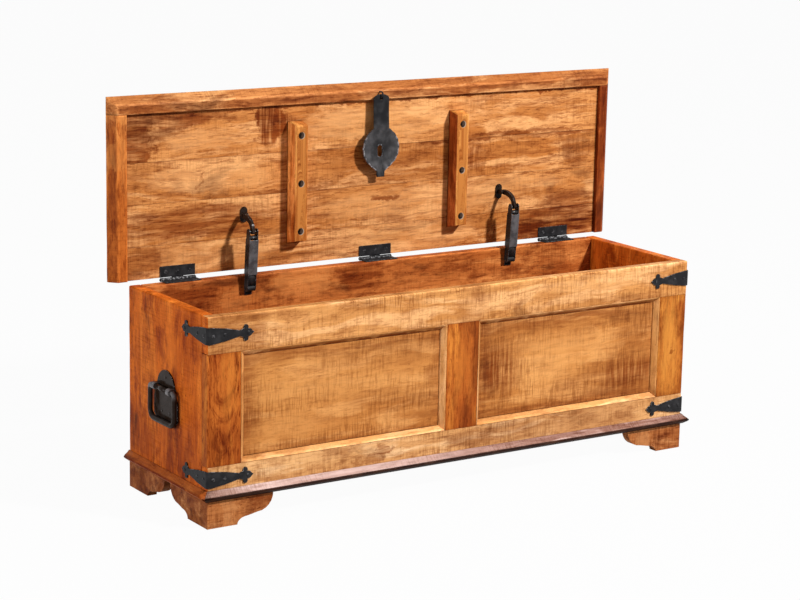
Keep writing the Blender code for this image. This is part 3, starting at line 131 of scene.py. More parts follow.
FINISHES = {
    "top_rail_wood": {
        "tones": RAIL_TONES, "blotch": 0.5, "saw": 0.9, "figure": 0.4,
        "dark_patches": ((-0.47, 0.0, 0.07, 0.05, 0.5), (0.02, 0.0, 0.03, 0.04, 0.35),
                   (0.3, -0.026, 0.2, 0.01, 0.3)),
        "lights": ((0.32, 0.012, 0.15, 0.015, 0.5),)},
    "bottom_rail_wood": {
        "tones": PALE_TONES, "blotch": 0.5, "saw": 0.9, "figure": 0.4,
        "sawn": ((0.2, 0.0, 0.1, 0.015, 0.25), (0.02, 0.004, 0.05, 0.015, 0.3)),
        "dark_patches": ((-0.17, 0.006, 0.018, 0.014, 1.0), (-0.19, -0.006, 0.03, 0.012, 0.6),
                   (0.2, 0.0, 0.2, 0.03, 0.35))},
    "bead_wood": {"tones": RAIL_TONES, "blotch": 0.4, "saw": 0.2, "figure": 0.4},
    "left_stile_wood": {
        "tones": STILE_TONES, "blotch": 0.4, "saw": 0.0, "figure": 1.3, "cone": 0.17, "soft": 0.6,
        "dark_patches": ((-0.1, 0.0, 0.06, 0.05, 0.6), (0.0, -0.03, 0.15, 0.01, 0.5)),
        "lights": ((0.04, 0.006, 0.06, 0.014, 0.7),)},
    "centre_stile_wood": {
        "tones": STILE_TONES, "blotch": 0.45, "saw": 0.15, "figure": 0.8, "soft": 0.6,
        "lights": ((0.02, 0.0, 0.05, 0.02, 0.5),),
        "dark_patches": ((-0.09, 0.0, 0.03, 0.04, 0.5), (0.0, 0.03, 0.15, 0.008, 0.5))},
    "right_stile_wood": {
        "tones": GOLD_TONES, "blotch": 0.45, "saw": 0.15, "figure": 0.8, "soft": 0.5,
        "lights": ((0.0, -0.006, 0.1, 0.018, 0.9),),
        "dark_patches": ((-0.01, 0.004, 0.006, 0.004, 0.9), (-0.11, 0.0, 0.03, 0.04, 0.5),
                   (0.0, 0.032, 0.15, 0.008, 0.6))},
    "left_panel_wood": {
        "tones": PANEL_TONES, "blotch": 0.22, "saw": 0.8, "figure": 0.35, "soft": 0.75,
        # The long dark patch at 0.085 across is painted shade under the top rail.
        "dark_patches": ((0.16, -0.04, 0.08, 0.03, 0.4), (0.1, 0.06, 0.12, 0.02, 0.4),
                   (-0.2, 0.0, 0.025, 0.12, 0.7), (0.0, 0.085, 0.25, 0.016, 0.7),
                   (0.0, -0.09, 0.25, 0.014, 0.6), (0.2, 0.0, 0.02, 0.12, 0.5),
                   (0.05, -0.02, 0.05, 0.015, 0.3)),
        "lights": ((-0.05, 0.012, 0.13, 0.012, 0.9), (-0.1, -0.05, 0.08, 0.02, 0.5))},
    "right_panel_wood": {
        "tones": PANEL_TONES, "blotch": 0.25, "saw": 0.8, "figure": 0.35, "soft": 0.75,
        "sawn": ((-0.16, 0.0, 0.045, 0.05, 1.0), (0.14, -0.045, 0.08, 0.035, 0.95)),
        # The long dark patch at 0.08 across is painted shade under the top rail.
        "dark_patches": ((-0.17, -0.01, 0.03, 0.03, 0.4), (0.06, -0.05, 0.12, 0.02, 0.4),
                   (0.0, 0.08, 0.25, 0.018, 0.7), (-0.2, 0.0, 0.02, 0.12, 0.7),
                   (0.0, -0.085, 0.25, 0.016, 0.7), (0.17, 0.04, 0.05, 0.06, 0.4)),
        "lights": ((-0.02, 0.025, 0.1, 0.025, 0.9), (-0.04, -0.02, 0.06, 0.02, 0.6))},
    "side_wood": {
        "tones": SIDE_TONES, "blotch": 0.85, "saw": 0.5, "figure": 0.5, "soft": 0.6,
        "dark_patches": ((0.04, 0.07, 0.06, 0.035, 0.6), (-0.12, -0.05, 0.04, 0.05, 0.6),
                   (-0.1, 0.1, 0.04, 0.06, 0.5), (0.1, -0.1, 0.05, 0.03, 0.5),
                   # The two dark patches below the handle's axis are painted shade behind its bail.
                   (-0.03, 0.049, 0.04, 0.012, 1.0), (-0.03, -0.035, 0.05, 0.015, 0.9),
                   (-0.1, 0.0, 0.07, 0.15, 0.5)),
        "lights": ((0.06, -0.02, 0.05, 0.03, 0.4),)},
    "back_wood": {
        "tones": INSIDE_TONES, "blotch": 0.75, "saw": 0.5, "figure": 0.7,
        # The patch at the left end is painted shade in the inner corner, and the small one at -0.26 is a
        # painted shadow of the stay.
        "dark_patches": ((-0.41, 0.13, 0.06, 0.06, 0.7), (-0.05, 0.13, 0.05, 0.03, 0.8),
                   (-0.26, 0.14, 0.02, 0.02, 0.5), (0.4, 0.12, 0.03, 0.06, 0.5)),
        "lights": ((-0.17, 0.14, 0.06, 0.04, 0.8), (-0.31, 0.11, 0.03, 0.03, 0.5))},
    "moulding_wood": {
        "tones": PLUM_AND_REFLECTION_TONES, "blotch": 0.3, "saw": 0.9, "figure": 0.5, "soft": 0.7,
        # The long pale patch is a painted reflection on the front moulding.
        "lights": ((-0.25, 0.0, 0.22, 0.06, 0.8),),
        "dark_patches": ((0.44, 0.0, 0.26, 0.06, 0.75), (-0.56, 0.0, 0.12, 0.06, 0.5))},
    # Painted shadow line under the moulding's nose.
    "nose_shadow_wood": {"tones": NOSE_SHADOW_TONES, "blotch": 0.4, "saw": 0.2, "figure": 0.4},
    "side_moulding_wood": {"tones": DEEP_TONES, "blotch": 0.6, "saw": 0.3, "figure": 0.6},
    "foot_wood": {
        "tones": FOOT_TONES, "blotch": 0.85, "saw": 0.9, "figure": 0.5,
        "lights": ((-0.025, 0.0, 0.018, 0.1, 0.7),), "dark_patches": ((0.014, 0.0, 0.012, 0.1, 0.35),)},
    # The left rim's tones also darken the left batten's sides, as painted shade.
    "left_rim_wood": {
        "tones": EDGE_TONES, "blotch": 0.6, "saw": 0.25, "figure": 0.8,
        "lights": ((0.15, 0.0, 0.02, 0.02, 0.8), (0.08, 0.0, 0.02, 0.02, 0.6))},
    # Painted shade: darker tones for the right rim and the right batten's sides.
    "right_rim_wood": {"tones": SHADED_TONES, "blotch": 0.6, "saw": 0.25, "figure": 0.8},
    "front_rim_wood": {"tones": BROWN_TONES, "blotch": 0.55, "saw": 0.45, "figure": 0.85},
    "batten_wood": {
        "tones": BATTEN_TONES, "blotch": 0.3, "saw": 0.0, "figure": 0.7,
        "lights": ((0.0, 0.004, 0.14, 0.006, 0.35),)},
    "plank_wood_1": {
        "tones": LID_TONES, "blotch": 0.45, "saw": 0.45, "figure": 0.8,
        "dark_patches": ((-0.49, 0.0, 0.04, 0.03, 0.7), (0.42, 0.0, 0.11, 0.05, 0.95),
                   (0.47, 0.02, 0.06, 0.04, 0.95), (0.36, -0.01, 0.06, 0.02, 0.8),
                   (0.0, 0.044, 0.6, 0.004, 0.6)),
        "lights": ((-0.35, 0.0, 0.12, 0.03, 0.4), (0.1, 0.0, 0.12, 0.03, 0.6))},
    "plank_wood_2": {
        "tones": LID_TONES, "blotch": 0.45, "saw": 0.45, "figure": 0.85,
        "dark_patches": ((-0.37, 0.0, 0.16, 0.03, 0.85), (0.46, -0.035, 0.06, 0.035, 0.75),
                   (0.02, 0.012, 0.03, 0.005, 0.9)),
        "lights": ((0.1, 0.0, 0.2, 0.03, 0.6), (0.33, 0.015, 0.1, 0.02, 0.5))},
    "plank_wood_3": {
        "tones": LID_TONES, "blotch": 0.55, "saw": 0.5, "figure": 0.8,
        "sawn": ((0.23, -0.005, 0.03, 0.03, 0.7), (0.45, 0.0, 0.02, 0.03, 0.3)),
        "dark_patches": ((0.47, 0.0, 0.04, 0.03, 0.4), (0.05, 0.0, 0.16, 0.05, 0.3),
                   (-0.2, -0.033, 0.1, 0.005, 0.7), (-0.37, 0.0, 0.005, 0.02, 0.6),
                   (0.3, 0.036, 0.22, 0.007, 0.9)),
        "lights": ((-0.35, 0.0, 0.12, 0.025, 0.6),)},
    "plank_wood_4": {
        "tones": LID_TONES, "blotch": 0.4, "saw": 0.4, "figure": 0.8,
        "dark_patches": ((-0.50, 0.0, 0.035, 0.09, 0.95), (-0.42, 0.03, 0.1, 0.014, 0.9),
                   # The long thin dark patch at 0.044 across is a painted shadow of the rim along the plank's
                   # edge.
                   (0.33, -0.037, 0.14, 0.005, 0.8), (0.0, 0.044, 0.9, 0.006, 0.9)),
        "sawn": ((-0.225, 0.012, 0.03, 0.04, 1.0), (-0.235, 0.02, 0.02, 0.03, 0.6)),
        "lights": ((-0.36, -0.01, 0.08, 0.02, 0.6), (0.0, 0.0, 0.16, 0.03, 0.9))},
}

# Iron: a finish has the name of its colour, the depth of its hammer dents, its polish and its sheen. The hasp
# is smoother than the other black iron so that its dish catches the light, and bronzed iron is lacquered.
IRON_FINISHES = {
    "black_iron": ("black", 0.3, 0.0, 0.12),
    "hasp_iron": ("black", 0.08, 0.16, 0.1),
    "bronzed_iron": ("bronze", 0.02, 0.33, 0.06),
    "screw_steel": ("screw", 0.0, 0.12, 0.15),
    "channel_iron": ("channel", 0.04, 0.22, 0.25),
}
IRON_BUMP = (0.55, 0.0016)


class BoardSettings(PropertyGroup):
    """Sizes that all the wooden pieces share."""
    ease: FloatProperty(name="Edge easing", description="Radius of the boards' eased edges", default=0.0022,
                        min=0.0005, unit="LENGTH")
    joint: FloatProperty(name="Joint easing", description="Radius of the edges that meet another board",
                         default=0.0004, min=0.0001, unit="LENGTH")
    wear: FloatProperty(name="Edge wear", description="How far handling has worn the edges back",
                        default=0.0009, min=0.0, unit="LENGTH")
    band: FloatProperty(name="Worn band", description="Width of the paler band beside an edge", default=0.006,
                        min=0.001, unit="LENGTH")
    step: FloatProperty(name="Step", description="Distance between the sections of a board", default=0.022,
                        min=0.005, unit="LENGTH")


class IronSettings(PropertyGroup):
    """Sizes and colours of the iron fittings."""
    black: FloatVectorProperty(name="Black iron", description="Colour of the forged fittings",
                               subtype="COLOR", default=(0.010, 0.0097, 0.0107))
    bronze: FloatVectorProperty(name="Bronzed iron", description="Colour of the handles and stays",
                                subtype="COLOR", default=(0.019, 0.0105, 0.0068))
    channel: FloatVectorProperty(name="Channel iron", description="Colour of the stay channels",
                                 subtype="COLOR", default=(0.012, 0.0105, 0.0105))
    screw: FloatVectorProperty(name="Screw steel", description="Colour of the battens' screws",
                               subtype="COLOR", default=(0.045, 0.042, 0.04))
    # This pale colour is both rubbed iron and the colour of painted highlights.
    rubbed_and_painted_light: FloatVectorProperty(name="Rubbed iron", description="Colour where the finish is rubbed through",
                                subtype="COLOR", default=(0.30, 0.29, 0.30))
    nail_radius: FloatProperty(name="Nail radius", description="Radius of a nail's domed head",
                               default=0.0033, unit="LENGTH")
    nail_height: FloatProperty(name="Nail height", description="Height of a nail's domed head",
                               default=0.0014, unit="LENGTH")
    screw_radius: FloatProperty(name="Screw radius", description="Radius of a screw's head", default=0.0036,
                                unit="LENGTH")
    round_sides: IntProperty(name="Sides", description="Facets round a pin or knuckle", default=28, min=8)


class StudioSettings(PropertyGroup):
    """The camera and the lights."""
    lens: FloatProperty(name="Lens", description="Focal length in millimetres", default=101.44, unit="CAMERA")
    azimuth: FloatProperty(name="Azimuth", description="Direction from which the camera looks",
                           default=math.radians(-33.394), subtype="ANGLE")
    elevation: FloatProperty(name="Elevation", description="Height of the camera above the horizon",
                             default=math.radians(12.309), subtype="ANGLE")
    roll: FloatProperty(name="Roll", description="Turn of the camera about its own line of sight",
                        default=math.radians(1.166), subtype="ANGLE")
    place: FloatVectorProperty(name="Camera place", description="Where the camera stands", unit="LENGTH",
                               default=(-2.2442, -3.3473, 1.1928))
    key_power: FloatProperty(name="Key light", description="Power of the light on the right", default=353.0,
                             unit="POWER")
    fill_power: FloatProperty(name="Fill light", description="Power of the light on the left", default=52.0,
                              unit="POWER")
    top_power: FloatProperty(name="Top light", description="Power of the light overhead", default=8.0,
                             unit="POWER")
    ambient: FloatProperty(name="Ambient", description="Strength of the light from all round", default=0.09)


# Nodes

def add(tree, kind, inputs=(), **settings):
    """A node with its settings and its inputs; an input that is a socket is linked."""
    item = tree.nodes.new(kind)
    for name, value in settings.items():
        setattr(item, name, value)
    for key, value in dict(inputs).items():
        if isinstance(value, bpy.types.NodeSocket):
            tree.links.new(value, item.inputs[key])
        else:
            item.inputs[key].default_value = value
    return item


def calc(tree, operation, first, second=0.0):
    """The result of a Math node."""
    return add(tree, "ShaderNodeMath", {0: first, 1: second}, operation=operation).outputs[0]


def vector_calc(tree, operation, first, second):
    """The result of a Vector Math node."""
    return add(tree, "ShaderNodeVectorMath", {0: first, 1: second}, operation=operation).outputs[0]


def vector_of(tree, x=0.0, y=0.0, z=0.0):
    """A vector from its three parts."""
    return add(tree, "ShaderNodeCombineXYZ", {0: x, 1: y, 2: z}).outputs[0]


def blend(tree, factor, first, second, mode="MIX"):
    """A colour blended from two others."""
    return add(tree, "ShaderNodeMix", {0: factor, 6: first, 7: second}, data_type="RGBA",
               blend_type=mode).outputs[2]


def ramp(tree, value, low, high, start=0.0, end=1.0):
    """A value eased from start to end while the input goes from low to high."""
    return add(tree, "ShaderNodeMapRange", {0: value, 1: low, 2: high, 3: start, 4: end},
               interpolation_type="SMOOTHSTEP").outputs[0]


def stretched_noise(tree, vector, stretch, board, detail=3.0, roughness=0.55, distortion=0.0):
    """Noise drawn out along the grain, different on each board."""
    scaled = vector_calc(tree, "MULTIPLY", vector, stretch)
    made = add(tree, "ShaderNodeTexNoise", {"Vector": scaled, "W": board, "Scale": 1.0, "Detail": detail,
                                            "Roughness": roughness, "Distortion": distortion},
               noise_dimensions="4D")
    return made.outputs[0]


def even_noise(tree, vector, scale, detail):
    """Noise that is alike in all directions."""
    return add(tree, "ShaderNodeTexNoise", {"Vector": vector, "Scale": scale, "Detail": detail}).outputs[0]


def wandering(tree, grain, board, reach, scale, detail, roughness=0.5):
    """A small shift to and fro, different on each board. Reach is how far along, across and through it."""
    made = add(tree, "ShaderNodeTexNoise", {"Vector": grain, "W": board, "Scale": scale, "Detail": detail,
                                            "Roughness": roughness}, noise_dimensions="4D")
    centred = vector_calc(tree, "SUBTRACT", made.outputs["Color"], NOISE_MIDDLE)
    return vector_calc(tree, "MULTIPLY", centred, reach)


def node_group(name, inputs, outputs):
    """An empty shader group with its sockets; returns the tree, its input node and its output node."""
    tree = bpy.data.node_groups.new(name, "ShaderNodeTree")
    for label, kind in inputs.items():
        tree.interface.new_socket(name=label, in_out="INPUT", socket_type=f"NodeSocket{kind}")
    for label, kind in outputs.items():
        tree.interface.new_socket(name=label, in_out="OUTPUT", socket_type=f"NodeSocket{kind}")
    return tree, tree.nodes.new("NodeGroupInput"), tree.nodes.new("NodeGroupOutput")


def use_group(tree, name, inputs):
    """A group placed in a material."""
    return add(tree, "ShaderNodeGroup", inputs, node_tree=bpy.data.node_groups[name])


def grain_group():
    """Oiled mango: four tones, dark clouds, fibres, saw marks across the grain, specks, and edge values that
    pale it for wear and painted highlight and darken it for oil and painted shade.
    """
    tree, given, made = node_group(
        "mango_grain",
        {"Grain": "Vector", "Rings": "Vector", "Board": "Float", "Edge": "Float", "Pale": "Color",
         "Light": "Color", "Middle": "Color", "Dark": "Color", "Blotch": "Float", "Saw": "Float",
         "Figure": "Float"},
        {"Colour": "Color", "Roughness": "Float", "Height": "Float"})
    grain = given.outputs["Grain"]
    board = given.outputs["Board"]
    blotch = given.outputs["Blotch"]
    wander = wandering(tree, grain, board, GRAIN_WANDER, 9.0, 2.0)
    bent = vector_calc(tree, "ADD", grain, wander)
    tone = stretched_noise(tree, bent, (3.2, 15.0, 15.0), board, 4.0, 0.6, 0.7)
    colour = blend(tree, ramp(tree, tone, 0.36, 0.62), given.outputs["Light"], given.outputs["Middle"])
    pale = stretched_noise(tree, bent, (5.0, 28.0, 28.0), calc(tree, "ADD", board, 5.3), 4.0, 0.6, 0.6)
    colour = blend(tree, ramp(tree, pale, 0.48, 0.62, 0.0, 0.85), colour, given.outputs["Pale"])
    mottle = stretched_noise(tree, bent, (18.0, 38.0, 38.0), calc(tree, "ADD", board, 1.9), 6.0, 0.7)
    mottle = calc(tree, "MULTIPLY", ramp(tree, mottle, 0.48, 0.66), blotch)
    colour = blend(tree, mottle, colour, STAIN_AND_SHADE, "MULTIPLY")
    cloud = stretched_noise(tree, bent, (5.5, 17.0, 17.0), calc(tree, "ADD", board, 3.7), 5.0, 0.65, 0.9)
    cloud = calc(tree, "MULTIPLY", ramp(tree, cloud, 0.54, 0.68), blotch)
    colour = blend(tree, cloud, colour, given.outputs["Dark"])
    rings = vector_calc(tree, "ADD", given.outputs["Rings"], wander)
    lines = stretched_noise(tree, rings, (7.0, 150.0, 150.0), board, 4.0, 0.65, 0.4)
    lines = calc(tree, "MULTIPLY", ramp(tree, lines, 0.46, 0.7), given.outputs["Figure"])
    colour = blend(tree, calc(tree, "MULTIPLY", lines, 0.85), colour, STAIN_AND_SHADE, "MULTIPLY")
    fibre = stretched_noise(tree, grain, (46.0, 380.0, 380.0), board, 4.0, 0.75)
    share = calc(tree, "ADD", calc(tree, "MULTIPLY", given.outputs["Figure"], 0.75), 0.15)
    threads = calc(tree, "MULTIPLY", ramp(tree, fibre, 0.5, 0.64), share)
    colour = blend(tree, threads, colour, STAIN_AND_SHADE, "MULTIPLY")
    patch = stretched_noise(tree, grain, (7.0, 24.0, 24.0), calc(tree, "ADD", board, 9.1), 3.0, 0.65)
    patch = ramp(tree, patch, 0.38, 0.6, 0.12, 1.0)
    ticks = stretched_noise(tree, grain, (250.0, 24.0, 24.0), board, 1.0, 0.5)
    ticks = ramp(tree, ticks, 0.53, 0.65, 0.0, 0.85)
    fine = ramp(tree, stretched_noise(tree, grain, (430.0, 34.0, 34.0), board, 1.0), 0.5, 0.62, 0.0, 0.6)
    ticks = calc(tree, "MULTIPLY", calc(tree, "MAXIMUM", ticks, fine), patch)
    ticks = calc(tree, "MULTIPLY", ticks, given.outputs["Saw"])
    colour = blend(tree, calc(tree, "MULTIPLY", ticks, 0.85), colour, SAW_STAIN, "MULTIPLY")
    speck = ramp(tree, stretched_noise(tree, grain, (150.0, 260.0, 260.0), board, 2.0), 0.64, 0.72)
    colour = blend(tree, calc(tree, "MULTIPLY", speck, blotch), colour, STAIN_AND_SHADE, "MULTIPLY")
    rubbing = ramp(tree, stretched_noise(tree, grain, (38.0, 60.0, 60.0), board, 3.0), 0.3, 0.55)
    edge = given.outputs["Edge"]
    # Negative edge values darken: end oil, and painted shade at joints, beads, rims and mouldings.
    oil_and_shade = calc(tree, "MAXIMUM", calc(tree, "MULTIPLY", edge, -1.0), 0.0)
    colour = blend(tree, calc(tree, "MULTIPLY", oil_and_shade, rubbing), colour, STAIN_AND_SHADE, "MULTIPLY")
    # Positive edge values pale: wear, and painted highlights on beads and mouldings.
    wear_and_painted_light = calc(tree, "MULTIPLY", calc(tree, "MAXIMUM", edge, 0.0), rubbing)
    colour = blend(tree, wear_and_painted_light, colour, WEAR_AND_HIGHLIGHT, "MULTIPLY")
    tree.links.new(colour, made.inputs["Colour"])
    rough = calc(tree, "ADD", calc(tree, "MULTIPLY", tone, 0.2), 0.42)
    tree.links.new(calc(tree, "ADD", rough, calc(tree, "MULTIPLY", ticks, 0.15)), made.inputs["Roughness"])
    height = calc(tree, "ADD", calc(tree, "MULTIPLY", fibre, 0.3), calc(tree, "MULTIPLY", lines, -0.35))
    tree.links.new(calc(tree, "SUBTRACT", height, ticks), made.inputs["Height"])


def patch_group():
    """A ragged patch about one place on a board, streaked along or across the grain."""
    tree, given, made = node_group(
        "heartwood", {"Grain": "Vector", "Board": "Float", "Centre": "Vector", "Half Size": "Vector",
                      "Streak": "Vector", "Softness": "Float"},
        {"Mask": "Float"})
    grain = given.outputs["Grain"]
    ragged = wandering(tree, grain, given.outputs["Board"], PATCH_WANDER, 26.0, 6.0, 0.7)
    place = vector_calc(tree, "ADD", grain, ragged)
    place = vector_calc(tree, "SUBTRACT", place, given.outputs["Centre"])
    place = vector_calc(tree, "DIVIDE", place, given.outputs["Half Size"])
    reach = add(tree, "ShaderNodeVectorMath", {0: place}, operation="LENGTH").outputs["Value"]
    streak = stretched_noise(tree, grain, given.outputs["Streak"], given.outputs["Board"], 3.0, 0.6)
    soft = given.outputs["Softness"]
    inside = ramp(tree, reach, calc(tree, "ADD", 1.0, soft), calc(tree, "SUBTRACT", 1.0, soft))
    mask = calc(tree, "MULTIPLY", inside, ramp(tree, streak, 0.36, 0.58, 0.35, 1.0))
    tree.links.new(mask, made.inputs["Mask"])


def hammered_group():
    """Hand-forged iron: shallow hammer dents, a cloudy finish, rubbed edges, and rubbed patches that also
    paint highlights.
    """
    tree, given, made = node_group(
        "hammered", {"Finish": "Color", "RubbedAndLit": "Color", "Edge": "Float", "RubbedAndGlint": "Float", "Dents": "Float",
                     "Polish": "Float"},
        {"Colour": "Color", "Roughness": "Float", "Height": "Float"})
    place = add(tree, "ShaderNodeTexCoord").outputs["Object"]
    dents = add(tree, "ShaderNodeTexVoronoi", {"Vector": place, "Scale": 150.0, "Smoothness": 0.7},
                feature="SMOOTH_F1").outputs["Distance"]
    cloud = even_noise(tree, place, 70.0, 4.0)
    grit = even_noise(tree, place, 900.0, 2.0)
    colour = blend(tree, ramp(tree, cloud, 0.4, 0.75, 0.0, 0.05), given.outputs["Finish"],
                   given.outputs["RubbedAndLit"])
    # The rubbed patches are partly painted highlight: the pale colour put where light glints.
    rubbed_and_glint = calc(tree, "MULTIPLY", given.outputs["RubbedAndGlint"], ramp(tree, cloud, 0.25, 0.75, 0.1, 0.3))
    colour = blend(tree, rubbed_and_glint, colour, given.outputs["RubbedAndLit"])
    nick = even_noise(tree, place, 260.0, 2.0)
    nick = calc(tree, "MULTIPLY", ramp(tree, nick, 0.5, 0.62), given.outputs["Edge"])
    colour = blend(tree, nick, colour, given.outputs["RubbedAndLit"])
    tree.links.new(colour, made.inputs["Colour"])
    rough = calc(tree, "SUBTRACT", ramp(tree, cloud, 0.3, 0.7, 0.44, 0.58), given.outputs["Polish"])
    tree.links.new(rough, made.inputs["Roughness"])
    height = calc(tree, "ADD", calc(tree, "MULTIPLY", dents, given.outputs["Dents"]),
                  calc(tree, "MULTIPLY", grit, 0.06))
    tree.links.new(height, made.inputs["Height"])


def blank_material(name):
    """A new material, its tree and its Principled shader."""
    material = bpy.data.materials.new(name)
    material.use_nodes = True
    return material, material.node_tree, material.node_tree.nodes["Principled BSDF"]


def dress(tree, shader, look, colour, strength, distance):
    """Feed a group's colour, roughness and height to the shader."""
    tree.links.new(colour, shader.inputs["Base Color"])
    tree.links.new(look.outputs["Roughness"], shader.inputs["Roughness"])
    bump = add(tree, "ShaderNodeBump", {"Strength": strength, "Distance": distance,
                                        "Height": look.outputs["Height"]})
    tree.links.new(bump.outputs["Normal"], shader.inputs["Normal"])


def mask_of(tree, name):
    """A value that the mesh carries on its points."""
    return add(tree, "ShaderNodeAttribute", attribute_name=name).outputs["Fac"]


def cone_rings(tree, grain, apex):
    """Growth rings that a flat-sawn board cuts as nested arcs, pointing at an apex along the board."""
    parts = add(tree, "ShaderNodeSeparateXYZ", {0: grain})
    along = calc(tree, "SUBTRACT", parts.outputs[0], apex)
    squared = calc(tree, "ADD", calc(tree, "POWER", calc(tree, "MULTIPLY", along, CONE_SLOPE), 2.0),
                   calc(tree, "POWER", parts.outputs[1], 2.0))
    ring = calc(tree, "SQRT", squared)
    return vector_of(tree, y=ring)


def wood(name):
    """The material of one wood finish, made once."""
    if name in bpy.data.materials:
        return bpy.data.materials[name]
    finish = FINISHES[name]
    material, tree, shader = blank_material(name)
    grain = add(tree, "ShaderNodeAttribute", attribute_name="grain").outputs["Vector"]
    board = mask_of(tree, "board")
    rings = cone_rings(tree, grain, finish["cone"]) if "cone" in finish else grain
    pale, light, middle, dark = [(*tone, 1) for tone in finish["tones"]]
    look = use_group(tree, "mango_grain", {
        "Grain": grain, "Rings": rings, "Board": board, "Edge": mask_of(tree, "edge"), "Pale": pale,
        "Light": light, "Middle": middle, "Dark": dark, "Blotch": finish["blotch"], "Saw": finish["saw"],
        "Figure": finish["figure"]})
    colour = look.outputs["Colour"]
    for kind, mode, streak, cover in PATCH_KINDS:
        tint = pale if kind == "lights" else STAIN_AND_SHADE
        for along, across, half_along, half_across, strength in finish.get(kind, ()):
            patch = use_group(tree, "heartwood", {
                "Grain": grain, "Board": board, "Centre": (along, across, 0),
                "Half Size": (half_along, half_across, 1), "Streak": streak,
                "Softness": finish.get("soft", PATCH_SOFTNESS)})
            share = calc(tree, "MULTIPLY", patch.outputs["Mask"], strength * cover)
            colour = blend(tree, share, colour, tint, mode)
    dress(tree, shader, look, colour, *WOOD_BUMP)
    shader.inputs["Specular IOR Level"].default_value = WOOD_SHEEN
    return material


def bore_wood():
    """Wood inside the counterbores: pale where it is freshly cut at the mouth, dark below as painted shade.
    """
    if "bore_wood" not in bpy.data.materials:
        tree, shader = blank_material("bore_wood")[1:]
        place = add(tree, "ShaderNodeTexCoord").outputs["Object"]
        grit = even_noise(tree, place, 400.0, 3.0)
        colour = blend(tree, calc(tree, "MULTIPLY", grit, BORE_STAIN), BORE_SHADE, STAIN_AND_SHADE)
        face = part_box("lid_batten_left")[0].y
        depth = add(tree, "ShaderNodeSeparateXYZ", {0: place}).outputs[1]
        deep = ramp(tree, depth, face + BORE_MOUTH[0], face + BORE_MOUTH[1])
        tree.links.new(blend(tree, deep, BORE_RAW, colour), shader.inputs["Base Color"])
        shader.inputs["Roughness"].default_value = BORE_ROUGHNESS
    return bpy.data.materials["bore_wood"]


def iron(name):
    """The material of one iron finish, made once."""
    skin = f"{name}_skin"
    if skin in bpy.data.materials:
        return bpy.data.materials[skin]
    settings = bpy.context.scene.chest_iron
    colour_name, dents, polish, sheen = IRON_FINISHES[name]
    material, tree, shader = blank_material(skin)
    look = use_group(tree, "hammered", {
        "Finish": (*getattr(settings, colour_name), 1), "RubbedAndLit": (*settings.rubbed_and_painted_light, 1),
        "Edge": mask_of(tree, "edge"), "RubbedAndGlint": mask_of(tree, "rubbed_and_glint"), "Dents": dents, "Polish": polish})
    dress(tree, shader, look, look.outputs["Colour"], *IRON_BUMP)
    shader.inputs["Specular IOR Level"].default_value = sheen
    return material


# Shapes

def mesh_from(work, name):
    """A mesh from a bmesh, which is freed."""
    mesh = bpy.data.meshes.new(name)
    work.to_mesh(mesh)
    work.free()
    return mesh


def box_mesh(size, centre):
    """A plain box."""
    work = bmesh.new()
    bmesh.ops.create_cube(work, size=1)
    bmesh.ops.scale(work, vec=size, verts=work.verts)
    bmesh.ops.translate(work, vec=centre, verts=work.verts)
    return mesh_from(work, "box")


class Shape:
    """Closed forms in one mesh. Each point has its place in the grain, its board's number and its value of
    wear and painted light.
    """

    def __init__(self):
        self.work = bmesh.new()
        self.grain = self.work.verts.layers.float_vector.new("grain")
        self.board = self.work.verts.layers.float.new("board")
        self.edge = self.work.verts.layers.float.new("edge")

    def mark(self, verts, grain_of, board):
        """Store the grain's place and the board's number on points."""
        for vert in verts:
            vert[self.grain] = grain_of(vert.co)
            vert[self.board] = board

    def loft(self, rings, grain_of, board):
        """Join rings of points, each a place and its value of wear and painted light, and cap the ends."""
        made = []
        for ring in rings:
            made.append([])
            for place, edge in ring:
                vert = self.work.verts.new(place)
                vert[self.edge] = edge
                made[-1].append(vert)
        self.work.faces.new(made[0])
        self.work.faces.new(made[-1])
        for low, high in zip(made, made[1:]):
            for index in range(len(low)):
                self.work.faces.new((low[index - 1], low[index], high[index], high[index - 1]))
        self.mark([vert for ring in made for vert in ring], grain_of, board)

    def take(self, mesh, ease, segments, grain_of, board, sharpest=SHARP_ANGLE):
        """Add a solid's mesh with its sharp edges eased."""
        self.work.from_mesh(mesh)
        bmesh.ops.remove_doubles(self.work, verts=self.work.verts, dist=NEAR)
        bmesh.ops.dissolve_limit(self.work, angle_limit=FLAT_ANGLE, verts=self.work.verts,
                                 edges=self.work.edges)
        sharp = [edge for edge in self.work.edges if edge.calc_face_angle(0) > sharpest]
        made = bmesh.ops.bevel(self.work, geom=sharp, offset=ease, segments=segments,
                               profile=EASE_PROFILE, affect="EDGES", clamp_overlap=True)
        eased = set(made["faces"])
        for vert in made["verts"]:
            if all(face in eased for face in vert.link_faces):
                vert[self.edge] = 1.0
        self.mark(self.work.verts, grain_of, board)

    def paint_rub_and_glint(self, amount, origin):
        """Rub the iron through and paint its glints: amount gives how strongly a point is worn and lit, from
        its place about the origin.
        """
        rubbed_and_glint = self.work.verts.layers.float.new("rubbed_and_glint")
        for vert in self.work.verts:
            vert[rubbed_and_glint] = amount(vert.co - origin)

    def mesh(self, name):
        """The finished mesh, with faces out and smooth shading."""
        bmesh.ops.recalc_face_normals(self.work, faces=self.work.faces)
        mesh = mesh_from(self.work, name)
        mesh.shade_smooth()
        return mesh


def new_object(name, data):
    """A new object in the scene."""
    item = bpy.data.objects.new(name, data)
    bpy.context.scene.collection.objects.link(item)
    return item


def evaluated_mesh(item):
    """The mesh of an object after its modifiers; the object is removed."""
    bpy.context.view_layer.update()
    graph = bpy.context.evaluated_depsgraph_get()
    mesh = bpy.data.meshes.new_from_object(item.evaluated_get(graph))
    bpy.data.objects.remove(item)
    return mesh


